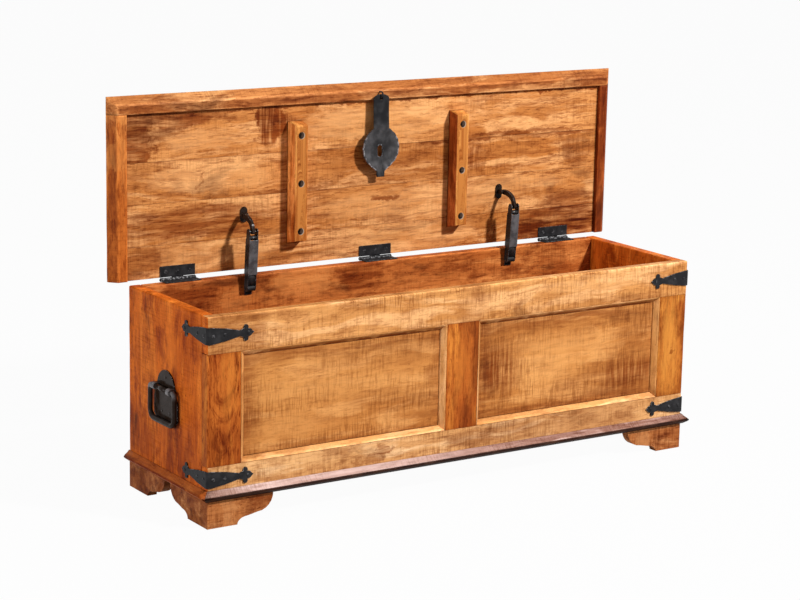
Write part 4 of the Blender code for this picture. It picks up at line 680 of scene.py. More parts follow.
def settle(name, mesh, material, slot, *nodes, body=None, weighted=True):
    """A finished piece at the origin: it takes its material, replaces its nodes and rides on their body."""
    if not mesh.materials:
        mesh.materials.append(material)
    piece = new_object(name, mesh)
    if weighted:
        piece.modifiers.new("weighted", "WEIGHTED_NORMAL").weight = NORMAL_WEIGHT
        mesh = evaluated_mesh(piece)
        mesh.name = name
        piece = new_object(name, mesh)
    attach(piece, body or frame["nodes"][nodes[0]]["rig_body"])
    if nodes:
        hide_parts(*nodes)
    return piece


def subtracted(mesh, tool):
    """A mesh less a tool."""
    body = new_object("body", mesh)
    cutter = new_object("cutter", tool)
    modifier = body.modifiers.new("cut", "BOOLEAN")
    modifier.operation = "DIFFERENCE"
    modifier.object = cutter
    modifier.material_mode = "TRANSFER"
    made = evaluated_mesh(body)
    bpy.data.objects.remove(cutter)
    return made


def joint_place(name):
    """A place on a joint's axis."""
    return Vector(next(joint["pos_m"] for joint in frame["joints"] if joint["name"] == name))


BOARD_NUMBERS = 97
BOARD_NUMBER_STEP = 0.37
SEED_SPREAD = 1.7


def number_of(name):
    """A steady number for a board, from its name."""
    letters = sum(ord(letter) * (index + 1) for index, letter in enumerate(name))
    return letters % BOARD_NUMBERS * BOARD_NUMBER_STEP


def grain_along(axis, low, high):
    """The place in the grain of a point: along, across and through the board, from its middle."""
    centre = (low + high) / 2
    others = [index for index in range(3) if index != axis]
    across, through = sorted(others, key=lambda side: low[side] - high[side])
    return lambda place: Vector((place[axis] - centre[axis], place[across] - centre[across],
                                 place[through] - centre[through]))


def roughly(place, scale, seed):
    """A steady uneven value between 0 and 1."""
    return 0.5 + 0.5 * noise.noise(Vector(place) * scale + Vector((seed, seed * SEED_SPREAD, 0)))


def worn_back(place, edge, scale, start, seed):
    """How far wear takes a point back. It begins where an uneven value of that scale passes the start."""
    wear = bpy.context.scene.chest_boards.wear
    return wear * max(0.0, edge) * max(0.0, roughly(place, scale, seed) - start)


def steps_between(start, end, step):
    """Even stations from start to end."""
    count = max(1, round((end - start) / step))
    return [start + (end - start) * index / count for index in range(count + 1)]


EASE_STEPS = 3
END_WEAR = 0.2
END_OIL = -1.0
END_CAP_INSET = 1.2
END_CAP_SHARE = 0.6
END_CAP_RADIUS = 0.2
END_FACE = 0.6
BAND_SHARE = 0.35
# Painted shade: how dark the edges are where a board meets another.
JOINT_SHADE = 0.3
BOARD_WEAR = (28, 0.35)
LAYER_WEAR = (30, 0.35)
BEAD_WEAR = (34, 0.3)
MOULDING_WEAR = (24, 0.3)


def eased_corner(radius, band):
    """One eased corner as offsets from the sharp one along its two sides, with the wear at each point."""
    angles = [math.radians(90) * step / EASE_STEPS for step in range(EASE_STEPS + 1)]
    bend = [(radius * (1 - math.sin(angle)), radius * (1 - math.cos(angle)), math.sin(2 * angle) * 0.5 + 0.5)
            for angle in angles]
    return [(radius + band, 0.0, 0.0)] + bend + [(0.0, radius + band, 0.0)]


def rounded_ring(half, radii, wear_and_painted_light, band, inset=0.0):
    """A rectangle with four eased corners: pairs about its middle, the value of wear and painted light, and
    the inward direction.
    """
    points = []
    band = min(band, BAND_SHARE * min(half))
    corners = ((1, 1, True), (-1, 1, False), (-1, -1, True), (1, -1, False))
    # A corner's value is wear on open edges and painted shade at joints.
    for (sign_a, sign_b, swap), radius, wear in zip(corners, radii, wear_and_painted_light):
        for first, second, edge in eased_corner(radius, band):
            along_a, along_b = (second, first) if swap else (first, second)
            points.append((sign_a * (half[0] - inset - along_a), sign_b * (half[1] - inset - along_b),
                           edge * wear, (-sign_a, -sign_b)))
    return points


def board_ends(ease, edge):
    """Stations of an eased end: distance in from it, inset, and its value of wear and painted shade."""
    angles = [math.radians(90) * step / EASE_STEPS for step in range(EASE_STEPS)]
    return [(ease * (1 - math.sin(angle)), ease * (1 - math.cos(angle)), edge) for angle in reversed(angles)]


def stronger(first, second):
    """The one of two values that is further from nought."""
    return first if abs(first) > abs(second) else second


def board_mesh(shape, low, high, axis, name, open_sides, joint_shade, end_oil):
    """A board with its grain along one axis. Edges between open sides are worn, the others get painted shade.
    """
    settings = bpy.context.scene.chest_boards
    centre = (low + high) / 2
    others = [index for index in range(3) if index != axis]
    half = [(high[index] - low[index]) / 2 for index in others]
    is_open = [[f"{sign}{'xyz'[index]}" in open_sides for sign in "-+"] for index in others]
    # Corners at a joint take the painted shade value.
    wear_and_painted_light = [1.0 if is_open[0][a] and is_open[1][b] else -joint_shade for a, b in ((1, 1), (0, 1), (0, 0), (1, 0))]
    radii = [settings.ease if value > 0 else settings.joint for value in wear_and_painted_light]
    ends = []
    for sign in "-+":
        open_end = f"{sign}{'xyz'[axis]}" in open_sides
        ends.append(board_ends(settings.ease, END_WEAR) if open_end else board_ends(settings.joint, -joint_shade))
    first = [(low[axis] + out, inset, edge) for out, inset, edge in ends[0]]
    last = [(high[axis] - out, inset, edge) for out, inset, edge in reversed(ends[1])]
    middle = steps_between(first[-1][0] + settings.band, last[0][0] - settings.band, settings.step)
    seed = number_of(name)
    flat = min(END_CAP_INSET * settings.ease, END_CAP_SHARE * min(half))
    stations = [(low[axis], flat, None), *first, *[(place, 0.0, 0.0) for place in middle], *last,
                (high[axis], flat, None)]
    rings = []
    for station, inset, end_edge in stations:
        small = [radius * END_CAP_RADIUS for radius in radii] if end_edge is None else radii
        ring = []
        for a, b, edge, inward in rounded_ring(half, small, wear_and_painted_light, settings.band, inset):
            edge = end_oil if end_edge is None else stronger(edge, end_edge)
            place = centre.copy()
            place[axis] = station
            back = worn_back(place + Vector((a, b, 0)), edge, *BOARD_WEAR, seed)
            place[others[0]] += a + inward[0] * back
            place[others[1]] += b + inward[1] * back
            ring.append((place, edge))
        rings.append(ring)
    shape.loft(rings, grain_along(axis, low, high), seed)


def two_finishes(mesh, finish, other, chosen):
    """Give a mesh its finish, and another, if there is one, on the faces that are chosen."""
    mesh.materials.append(wood(finish))
    if other:
        mesh.materials.append(wood(other))
        for face in mesh.polygons:
            face.material_index = int(chosen(face))


def board(node, axis, finish, slot, open_sides="", name=None, joint_shade=JOINT_SHADE, end_oil=END_OIL,
          end_finish=None):
    """Replace a board's solid with a worn board of the same size, whose ends may have their own finish."""
    shape = Shape()
    board_mesh(shape, *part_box(node), axis, node, open_sides, joint_shade, end_oil)
    mesh = shape.mesh(node)
    two_finishes(mesh, finish, end_finish, lambda face: abs(face.normal[axis]) > END_FACE)
    settle(name or node.replace("front_", "") + "_board", mesh, wood(finish), slot, node)


def rectangle(low, high, counts):
    """Points round a rectangle, with fixed counts of steps on its first and second sides."""
    points = []
    corners = [(low[0], low[1]), (high[0], low[1]), (high[0], high[1]), (low[0], high[1])]
    for index, corner in enumerate(corners):
        after = corners[(index + 1) % 4]
        count = counts[index % 2]
        for step in range(count):
            share = step / count
            points.append((corner[0] + (after[0] - corner[0]) * share,
                           corner[1] + (after[1] - corner[1]) * share))
    return points


def layered(shape, layers, counts, place, grain_of, seed):
    """A solid through rectangles, each a low corner, a high corner, a level and its value of wear and painted
    light.
    """
    rings = []
    for low, high, level, edge in layers:
        middle = ((low[0] + high[0]) / 2, (low[1] + high[1]) / 2)
        ring = []
        for a, b in rectangle(low, high, counts):
            back = worn_back((a, b, level), edge, *LAYER_WEAR, seed)
            a -= math.copysign(back, a - middle[0])
            b -= math.copysign(back, b - middle[1])
            ring.append((place(a, b, level), edge))
        rings.append(ring)
    shape.loft(rings, grain_of, seed)


# Wooden pieces

RIM_WIDTH = 0.0175
RIM_FLARE = 0.014
RIM_FACE = 0.002
RIM_ROUND = 0.004
RIM_EASE = 0.0012
RIM_BAND = 0.0035
# Values for each rim's flat face and flare, where positive ones are wear. The left rim's flare and the right
# rim are darkened as painted shade, and the front rim's flat face is darkened too.
RIM_WEAR_AND_SHADE = {"front": (-0.6, 0.1), "left": (0.1, -0.5), "right": (-0.3, -0.3)}
PANEL_BEVEL = 0.010
PANEL_LIP = 0.0015
# Painted shade along the joints round the panels and round the back board.
PANEL_SHADE = 0.9
BACK_SHADE = 0.6
# Painted light on the beads round a panel, lower, upper, left and right: the lower and right ones are paled
# as painted highlight, the upper and left ones darkened as painted shade.
BEAD_LIGHT_AND_SHADE = (1.0, -1.6, -0.4, 0.6)
LID_PLANKS = 4
RIM_STEPS = 4
MITRE_GAP = 0.00012
MOULDING_NOSE_RISE = 0.007
MOULDING_FLAT = 0.0015
MOULDING_FOOT = 0.003
MOULDING_FILLET = 0.0015
NOSE_SHADE = 0.0015
BATTEN_SIDE_SLOPE = 0.002
BATTEN_SIDE_FACING = 0.8
BATTEN_END_SLOPE = 0.006
BATTEN_HOLE_RADIUS = 0.0066
BATTEN_HOLE_DEPTH = 0.012
BATTEN_HOLE_INSET = 0.024
BATTEN_EASE = 0.0014
BATTEN_BAND = 0.6
BATTEN_STEPS = (3, 14)
BATTEN_SCREW_HEIGHT = 0.0016
SEAT_GAP = 0.0003
FOOT_EASE = 0.0016
# Painted shade on the feet's outer side faces.
FOOT_SIDE_SHADE = -0.65
SIDE_TOP_WEAR = 0.7


def build_front():
    """Rails and stiles of the framed front."""
    ends = {"end_oil": 0.0, "end_finish": "side_wood"}
    board("front_top_rail", 0, "top_rail_wood", "wood_front", "-y+y+z-x+x", **ends)
    board("front_bottom_rail", 0, "bottom_rail_wood", "wood_front", "-y-x+x", **ends)
    for name, open_sides in (("left", "-y-x"), ("centre", "-y"), ("right", "-y+x")):
        board(f"front_{name}_stile", 2, f"{name}_stile_wood", "wood_stile", open_sides)


def panel_strip_profile(depth):
    """One side of a panel's moulding: distance into the opening, depth behind the face, and wear."""
    run = PANEL_BEVEL - PANEL_LIP
    return [(0.0, 0.0, 0.0), (PANEL_LIP - 0.0006, 0.0, 0.6), (PANEL_LIP, 0.00035, 1.0),
            (PANEL_LIP + run * 0.12, depth * 0.17, 0.7), (PANEL_LIP + run * 0.4, depth * 0.45, 0.15),
            (PANEL_LIP + run * 0.8, depth * 0.82, 0.1), (PANEL_BEVEL, depth, 0.3), (0.0, depth, 0.0)]


def panel_moulding(node):
    """The mitred strips round a panel, sloping from the front's face down to it."""
    settings = bpy.context.scene.chest_boards
    low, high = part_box(node)
    shape = Shape()
    depth = high.y - low.y
    profile = panel_strip_profile(depth)
    lower, upper, left, right = BEAD_LIGHT_AND_SHADE
    runs = ((0, low.x, high.x, low.z, 1, lower), (0, low.x, high.x, high.z, -1, upper),
            (2, low.z, high.z, low.x, 1, left), (2, low.z, high.z, high.x, -1, right))
    for number, (axis, start, end, level, into, rubbed_and_painted_light) in enumerate(runs):
        seed = number_of(f"{node}{number}")
        other = 2 - axis
        rings = []
        for share in steps_between(0.0, 1.0, settings.step / (end - start)):
            ring = []
            for inset, back, edge in profile:
                mitred = inset + MITRE_GAP
                place = Vector((0, low.y + back, 0))
                place[axis] = start + mitred + (end - start - 2 * mitred) * share
                place[other] = level + into * inset
                place.y += worn_back(place, edge, *BEAD_WEAR, seed)
                # A positive value scales the profile's wear into a painted highlight. A negative one is
                # painted shade that deepens towards the panel.
                ring.append((place, edge * rubbed_and_painted_light if rubbed_and_painted_light > 0 else rubbed_and_painted_light * back / depth))
            rings.append(ring)
        shape.loft(rings, grain_along(axis, low, high), seed)
    settle(node.replace("_moulding", "_bead"), shape.mesh(node), wood("bead_wood"), "wood_front", node)


def build_panels():
    """Sunk panels and the mouldings round them."""
    for name in SIDE_NAMES:
        board(f"front_{name}_panel", 0, f"{name}_panel_wood", "wood_panel", joint_shade=PANEL_SHADE)
        panel_moulding(f"{name}_panel_moulding")


def build_walls():
    """Sides, back and bottom of the box."""
    for name in SIDE_NAMES:
        board(f"{name}_side", 2, "side_wood", "wood_side", "-x+x+z+y", f"{name}_side_board",
              end_oil=SIDE_TOP_WEAR)
    board("back_board", 0, "back_wood", "wood_back", "-y+y+z-x+x", "back_wall_board", BACK_SHADE)
    board("bottom_board", 0, "back_wood", "wood_back", name="floor_board")


def base_profile(height, nose):
    """Base moulding: distance out from the box, rise, and a value of wear and painted light."""
    flat = MOULDING_NOSE_RISE + MOULDING_FLAT
    # Negative values are painted shade under the moulding, on its nose and in the crease against the box. On
    # the upper slope the positive ones are wear and a painted reflection.
    foot = [(SEAT_GAP, 0.0, -1.0), (MOULDING_FOOT - 0.0008, 0.0, -1.0),
            (MOULDING_FOOT + 0.0004, 0.0003, -1.0)]
    under = [(nose - 0.0022, MOULDING_NOSE_RISE - 0.0022, -0.9),
             (nose - 0.0006, MOULDING_NOSE_RISE - 0.0004, 0.2)]
    over = [(nose, (MOULDING_NOSE_RISE + flat) / 2, -1.6), (nose - 0.0006, flat + 0.0005, -1.2),
            (nose - 0.0018, flat + 0.0018, -0.4), (nose - 0.0030, flat + 0.0032, 0.3)]
    fillet = [(MOULDING_FILLET + 0.0035, height - 0.0042, 0.3),
              (MOULDING_FILLET + 0.0004, height - 0.0005, 0.4), (MOULDING_FILLET - 0.0007, height, -0.3)]
    return foot + under + over + fillet + [(SEAT_GAP, height, -1.0)]


def base_strip(node, wall, axis, outward, ends, finish, nose_shadow_finish=None):
    """One base moulding along an axis; ends say how far its mitre reaches out at either end."""
    settings = bpy.context.scene.chest_boards
    low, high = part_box(node)
    nose = (high - low)[1 - axis] + SEAT_GAP
    seed = number_of(node)
    shape = Shape()
    rings = []
    start = low[axis] + (nose - SEAT_GAP) * ends[0]
    end = high[axis] - (nose - SEAT_GAP) * ends[1]
    for share in steps_between(0.0, 1.0, settings.step / (end - start)):
        ring = []
        for out, rise, edge in base_profile(high.z - low.z, nose):
            near = start - (out - SEAT_GAP) * ends[0]
            far = end + (out - SEAT_GAP) * ends[1]
            place = Vector((0, 0, low.z + rise))
            place[axis] = near + (far - near) * share
            place[1 - axis] = wall + outward * (out - worn_back(place, edge, *MOULDING_WEAR, seed))
            ring.append((place, edge))
        rings.append(ring)
    shape.loft(rings, grain_along(axis, low, high), seed)
    mesh = shape.mesh(node)
    # Faces below the nose take the near black finish: a painted shadow line.
    nose_top = low.z + MOULDING_NOSE_RISE + MOULDING_FLAT + NOSE_SHADE
    two_finishes(mesh, finish, nose_shadow_finish, lambda face: face.center.z < nose_top)
    settle(node + "_strip", mesh, wood(finish), "wood_moulding", node)


def build_base():
    """Base mouldings and bracket feet."""
    bottom_low, bottom_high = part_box("bottom_board")
    base_strip("base_moulding_front", bottom_low.y, 0, -1, (1, 1), "moulding_wood", "nose_shadow_wood")
    base_strip("base_moulding_left", bottom_low.x, 1, -1, (1, 0), "side_moulding_wood")
    base_strip("base_moulding_right", bottom_high.x, 1, 1, (1, 0), "side_moulding_wood")
    for depth_name in ("front", "back"):
        for side_name, side in SIDES:
            node = f"foot_{depth_name}_{side_name}"
            low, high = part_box(node)
            shape = Shape()
            shape.take(frame["nodes"][node].data, FOOT_EASE, EASE_STEPS, grain_along(0, low, high),
                       number_of(node))
            outer = low.x if side < 0 else high.x
            # The outer side faces are darkened: painted shade.
            for vert in shape.work.verts:
                if abs(vert.co.x - outer) < 10 * NEAR:
                    vert[shape.edge] = FOOT_SIDE_SHADE
            settle(f"bracket_{depth_name}_{side_name}", shape.mesh(node), wood("foot_wood"), "wood_foot",
                   node)


def rim_layers(bottom, top, flat, flare):
    """The lid's rim from its underside to its eased top edge: width, level, inset, and wear and painted shade
    of each part.
    """
    full = RIM_WIDTH + RIM_FLARE
    face_top = top - RIM_ROUND
    angles = [math.radians(90) * step / EASE_STEPS for step in range(1, EASE_STEPS + 1)]
    rounded = [(full - RIM_ROUND * (1 - math.cos(angle)), face_top + RIM_ROUND * math.sin(angle), 0.0,
                math.sin(2 * angle)) for angle in angles]
    under = [(RIM_WIDTH, bottom, RIM_BAND, flat), (RIM_WIDTH, bottom, RIM_EASE, 0.6),
             (RIM_WIDTH + 0.0006, bottom + RIM_EASE, 0.0, 1.0)]
    flared = [(RIM_WIDTH + 0.003, bottom + 0.0035, 0.0, flare),
              (full - 0.002, face_top - RIM_FACE - 0.0025, 0.0, flare)]
    upright = [(full, face_top - RIM_FACE, 0.0, 0.7), (full, face_top, 0.0, 0.4)]
    return under + flared + upright + rounded + [(full - RIM_ROUND, top, RIM_BAND, 0.0)]


def lid_place(a, b, level):
    """A point of the open lid, whose face lies in x and z and whose levels go along y."""
    return Vector((a, level, b))


def build_lid():
    """Planks and the bevelled rim on three sides."""
    for number in range(1, LID_PLANKS + 1):
        board(f"lid_plank_{number}", 0, f"plank_wood_{number}", "wood_lid", name=f"lid_board_{number}")
    settings = bpy.context.scene.chest_boards
    low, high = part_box("lid_rim_front")
    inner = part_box("lid_rim_right")[0].x
    runs = {"front": (0, lambda out: ((-inner - out, low.z), (inner + out, low.z + out)))}
    side_low, side_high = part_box("lid_rim_left")
    runs["left"] = (2, lambda out: ((-inner - out, side_low.z), (-inner, side_high.z)))
    runs["right"] = (2, lambda out: ((inner, side_low.z), (inner + out, side_high.z)))
    for name, (axis, span) in runs.items():
        node = f"lid_rim_{name}"
        layers = []
        for out, level, inset, edge in rim_layers(low.y, high.y, *RIM_WEAR_AND_SHADE[name]):
            corner_low, corner_high = span(out)
            layers.append(((corner_low[0] + inset, corner_low[1] + inset),
                           (corner_high[0] - inset, corner_high[1] - inset), level, edge))
        long = (high.x - low.x) if axis == 0 else (side_high.z - side_low.z)
        count = round(long / settings.step)
        counts = (count, RIM_STEPS) if axis == 0 else (RIM_STEPS, count)
        shape = Shape()
        layered(shape, layers, counts, lid_place, grain_along(axis, *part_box(node)), number_of(node))
        settle(f"rim_{name}", shape.mesh(node), wood(f"{name}_rim_wood"), "wood_rim", node)


ROD_WEAR = 0.6


def rod_rings(start, end, radius, sides, ease=0.0):
    """Rings of a round bar between two points, with eased ends."""
    along = (end - start).normalized()
    side = along.orthogonal().normalized()
    other = along.cross(side)
    length = (end - start).length
    stations = [(0.0, radius - ease, 0.0), (length, radius - ease, 0.0)]
    if ease:
        stations[1:1] = [(ease, radius, ROD_WEAR), (length - ease, radius, ROD_WEAR)]
    rings = []
    for place, size, edge in stations:
        rings.append([])
        for index in range(sides):
            angle = 2 * math.pi * index / sides
            spot = start + along * place + (side * math.cos(angle) + other * math.sin(angle)) * size
            rings[-1].append((spot, edge))
    return rings


def no_grain(place):
    """Iron has no grain: a point's own place serves."""
    return Vector(place)


def rod_mesh(start, end, radius, sides):
    """A plain round bar, as a cutting tool."""
    shape = Shape()
    shape.loft(rod_rings(start, end, radius, sides), no_grain, 0.0)
    return shape.mesh("rod")


def batten_seats(node):
    """The floors of one batten's three counterbores."""
    low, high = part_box(node)
    floor = low.y + BATTEN_HOLE_DEPTH
    middle = (low.z + high.z) / 2
    reach = (high.z - low.z) / 2 - BATTEN_HOLE_INSET
    return [Vector(((low.x + high.x) / 2, floor, middle + step * reach)) for step in (-1, 0, 1)]


def build_battens():
    """Battens with sloped ends and counterbored screws."""
    iron_settings = bpy.context.scene.chest_iron
    settings = bpy.context.scene.chest_boards
    seats = []
    for name in SIDE_NAMES:
        node = f"lid_batten_{name}"
        low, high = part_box(node)
        thick = high.y - low.y
        layers = []
        # The sides' values of 0.9 pale them, as painted light.
        for level, inset, edge in ((0.0, settings.band * BATTEN_BAND, 0.0), (0.0, BATTEN_EASE, 0.5),
                                   (BATTEN_EASE * 0.4, 0.0, 1.0), (thick * 0.2, 0.0, 0.9),
                                   (thick * 0.85, 0.0, 0.9), (thick, 0.0, 0.4)):
            slope = 1 - level / thick
            in_x = BATTEN_SIDE_SLOPE * slope + inset
            in_z = BATTEN_END_SLOPE * slope + inset
            layers.append(((low.x + in_x, low.z + in_z), (high.x - in_x, high.z - in_z), low.y + level, edge))
        shape = Shape()
        layered(shape, layers, BATTEN_STEPS, lid_place, grain_along(2, low, high), number_of(node))
        mesh = shape.mesh(node)
        # The sides take the darker rim finishes as painted shade.
        two_finishes(mesh, "batten_wood", f"{name}_rim_wood",
                     lambda face: abs(face.normal.x) > BATTEN_SIDE_FACING)
        for seat in batten_seats(node):
            tool = rod_mesh(seat - Y_AXIS * 2 * BATTEN_HOLE_DEPTH, seat, BATTEN_HOLE_RADIUS,
                            iron_settings.round_sides)
            tool.materials.append(bore_wood())
            mesh = subtracted(mesh, tool)
        seats += [(seat, -Y_AXIS) for seat in batten_seats(node)]
        settle(f"batten_{name}", mesh, wood("batten_wood"), "wood_rim", node)
    nodes = [f"batten_screw_{name}_{place}" for name in SIDE_NAMES for place in ("front", "middle", "back")]
    heads = placed_heads("slotted_screw", seats, iron_settings.screw_radius, BATTEN_SCREW_HEIGHT,
                         iron("screw_steel"))
    settle("batten_screw_heads", heads, iron("screw_steel"), "steel", *nodes, weighted=False)


# Repeated fasteners

HEAD_WEAR = 0.2
SCREW_SIDES = 20
SLOT_LENGTH = 3.0
SLOT_WIDTH = 0.3
SLOT_LIFT = 0.6
NAIL_SIDES = 14
NAIL_RINGS = 8
TURN_SEED = 4


def head_tree(name, slotted):
    """Geometry nodes that set a domed or a slotted head on every point, facing as the point says."""
    tree = bpy.data.node_groups.new(name, "GeometryNodeTree")
    for label, kind in (("Geometry", "Geometry"), ("Radius", "Float"), ("Height", "Float"),
                        ("Material", "Material")):
        tree.interface.new_socket(name=label, in_out="INPUT", socket_type=f"NodeSocket{kind}")
    tree.interface.new_socket(name="Geometry", in_out="OUTPUT", socket_type="NodeSocketGeometry")
    given = tree.nodes.new("NodeGroupInput")
    made = tree.nodes.new("NodeGroupOutput")
    radius = given.outputs["Radius"]
    height = given.outputs["Height"]
    if slotted:
        head = add(tree, "GeometryNodeMeshCylinder", {"Vertices": SCREW_SIDES, "Radius": radius,
                                                      "Depth": height}).outputs["Mesh"]
        size = vector_of(tree, calc(tree, "MULTIPLY", radius, SLOT_LENGTH),
                         calc(tree, "MULTIPLY", radius, SLOT_WIDTH), height)
        slot = add(tree, "GeometryNodeMeshCube", {"Size": size}).outputs["Mesh"]
        lift = vector_of(tree, z=calc(tree, "MULTIPLY", height, SLOT_LIFT))
        slot = add(tree, "GeometryNodeTransform", {"Geometry": slot, "Translation": lift}).outputs[0]
        head = add(tree, "GeometryNodeMeshBoolean", {"Mesh 1": head, "Mesh 2": slot},
                   operation="DIFFERENCE").outputs["Mesh"]
    else:
        head = add(tree, "GeometryNodeMeshUVSphere", {"Segments": NAIL_SIDES, "Rings": NAIL_RINGS,
                                                      "Radius": 1.0}).outputs["Mesh"]
        size = vector_of(tree, radius, radius, height)
        head = add(tree, "GeometryNodeTransform", {"Geometry": head, "Scale": size}).outputs[0]
        head = add(tree, "GeometryNodeSetShadeSmooth", {"Geometry": head}).outputs[0]
    facing = add(tree, "GeometryNodeInputNamedAttribute", {"Name": "facing"},
                 data_type="FLOAT_VECTOR").outputs[0]
    turn = add(tree, "FunctionNodeRandomValue", {2: 0.0, 3: math.pi, "Seed": TURN_SEED},
               data_type="FLOAT").outputs[1]
    spin = vector_of(tree, z=turn)
    align = add(tree, "FunctionNodeAlignRotationToVector", {"Vector": facing}, axis="Z").outputs[0]
    rotation = add(tree, "FunctionNodeRotateRotation", {"Rotation": align, "Rotate By": spin},
                   rotation_space="LOCAL").outputs[0]
    heads = add(tree, "GeometryNodeInstanceOnPoints", {"Points": given.outputs["Geometry"], "Instance": head,
                                                       "Rotation": rotation}).outputs[0]
    heads = add(tree, "GeometryNodeRealizeInstances", {"Geometry": heads}).outputs[0]
    heads = add(tree, "GeometryNodeSetMaterial", {"Geometry": heads,
                                                  "Material": given.outputs["Material"]}).outputs[0]
    tree.links.new(heads, made.inputs["Geometry"])


def placed_heads(tree_name, seats, radius, height, material):
    """One mesh of fastener heads, each standing on its seat and facing its direction."""
    mesh = bpy.data.meshes.new(tree_name)
    mesh.from_pydata([seat for seat, facing in seats], [], [])
    facings = mesh.attributes.new("facing", "FLOAT_VECTOR", "POINT")
    for index, (seat, facing) in enumerate(seats):
        facings.data[index].vector = facing
    holder = new_object(tree_name, mesh)
    tree = bpy.data.node_groups[tree_name]
    modifier = holder.modifiers.new("heads", "NODES")
    modifier.node_group = tree
    values = {"Radius": radius, "Height": height, "Material": material}
    for item in tree.interface.items_tree:
        if item.in_out == "INPUT" and item.name in values:
            modifier[item.identifier] = values[item.name]
    made = evaluated_mesh(holder)
    edges = made.attributes.new("edge", "FLOAT", "POINT")
    edges.data.foreach_set("value", [HEAD_WEAR] * len(made.vertices))
    return made


# Iron fittings

STRAP_THICKNESS = 0.002
STRAP_HALF_HEIGHT = 0.0145
STRAP_NECK_HALF = 0.0050
STRAP_LOBE_RADIUS = 0.0044
STRAP_LOBE_HALF = 0.0142
STRAP_LOBE_BACK = 0.0158
STRAP_LOBE_TURN = 25
STRAP_TIP_RADIUS = 0.0066
STRAP_TIP_BACK = 0.0099
STRAP_NECK_RUN = 0.0114
STRAP_SQUARE_RUN = 0.005
STRAP_TAPER_BOW = 0.0011
STRAP_NAILS = (0.010, 0.032)
STRAP_TIP_NAIL_BACK = 0.0115
STRAP_BEND = 0.0024
STRAP_CUTS = (-1, -0.6, -0.2, 0.2, 0.6, 1)
IRON_EASE = 0.0005
IRON_STEPS = 2
PLATE_SIDE = 0.5
LEAF_THICKNESS = 0.0016
LEAF_HALF_GAP = 0.0004
LEAF_DEPTH = 0.020
LEAF_SCREW_PITCH = 0.024
LEAF_EASE = IRON_EASE * 0.8
LEAF_LAP = IRON_EASE * 3
HINGE_SCREW_HEIGHT = 0.0006
KNUCKLE_RADIUS = 0.0034
KNUCKLE_EASE = 0.0004
KNUCKLES = 3
PIN_BEHIND = 0.004
PIN_RADIUS = KNUCKLE_RADIUS * 0.55
PIN_END = 0.0012
HANDLE_PLATE_THICKNESS = 0.0025
HANDLE_PLATE_HALF = 0.032
HANDLE_PLATE_DROP = 0.063
HANDLE_SKIRT_HALF = 0.0425
HANDLE_SKIRT_DROP = 0.020
HANDLE_CHAMFER = 0.012
HANDLE_SCREW_RISE = 0.019
HANDLE_SCREW_DROP = 0.042
HANDLE_SCREW_SPREAD = 0.014
HANDLE_SCREW_SHARE = 0.9
HANDLE_SCREW_HEIGHT = 0.0011
HANDLE_POST_IN = 0.022
HANDLE_POST_OUT = 0.034
HANDLE_POST_RADIUS = 0.0065
HANDLE_POST_EASE = 0.0009
HANDLE_WEB_HALF = 0.0058
HANDLE_BAR_RADIUS = 0.0052
BAIL_RADIUS = 0.0052
BAIL_STUB_RADIUS = 0.0032
BAIL_HALF_WIDTH = 0.0445
BAIL_DROP = 0.058
BAIL_CORNER = 0.015
BAIL_SHOULDER = 0.006
BAIL_SIDE_SHARE = 0.82
BAIL_SIDE_GAIN = 0.18
BAIL_GRIP_SHARE = 0.3
BAIL_SIDES = 20
# Rubbed iron and painted glints on the bail's shoulders and on the posts' knuckles.
SHOULDER_RUB_AND_GLINT = 1.6
KNUCKLE_RUB_AND_GLINT = 1.8
CHANNEL_START = 0.026
CHANNEL_HEAD = 0.0143
CHANNEL_PIVOT_CLEAR = 0.0072
CHANNEL_FILL_HALF = 0.0076
CHANNEL_FILL_DEPTH = 0.0086
CHANNEL_FILL_OUT = 0.0009
# Painted highlight on the channel's face.
CHANNEL_GLINT = 1.2
CHANNEL_FACE_OUT = 0.007
CHANNEL_FACE_SLACK = 0.001
STAY_EASE = 0.0004
STAY_SHARP_ANGLE = math.radians(35)
HASP_THICKNESS = 0.0026
HASP_STRAP_HALF = 0.018
HASP_ABOVE_EYE = 0.008
HASP_HEAD_RISE = 0.0108
HASP_EYE_RADIUS = 0.0026
HASP_EYE_DROP = 0.006
HASP_DISC_DROP = 0.092
HASP_DISC_RADIUS = 0.040
HASP_SLOT_HALF_WIDTH = 0.005
HASP_SLOT_HALF_LENGTH = 0.011
HASP_SLOT_BELOW = 0.006
HASP_TAB_HALF = 0.007
HASP_TIP_REACH = 0.045
HASP_TAB_REACH = 0.054
HASP_TAB_TURN = 55
HASP_DISH = 0.0052
HASP_SCALLOPS = 18
HASP_SCALLOP_DEPTH = 0.0011
HASP_BEAD = 0.75
HASP_BEAD_BARE = 3.6
HASP_BEAD_REACH = 0.9
HASP_NICKED = (-1.08, 0.6)
# Rubbed iron and a painted sheen on the hasp's disc.
HASP_RUB_AND_SHEEN = 0.6
HASP_DISH_LEVEL = 0.55
HASP_BEATEN = (0.0006, 130)
HASP_STRAP_BEATEN = (0.0005, 110)
HASP_PETAL = 0.0002
HASP_TURNS = 132
HASP_RINGS = 12
HASP_ROWS = 14
HASP_SHARP_ANGLE = math.radians(50)
HASP_EYE_CUT = 0.02
HASP_EYE_SIDES = 24
STAPLE_EASE = 0.0001
STAPLE_SHARP_ANGLE = math.radians(70)


def arc(centre, radius, start, end, steps):
    """Points along an arc, angles in degrees."""
    angles = [math.radians(start + (end - start) * step / steps) for step in range(steps + 1)]
    return [(centre[0] + radius * math.cos(angle), centre[1] + radius * math.sin(angle)) for angle in angles]


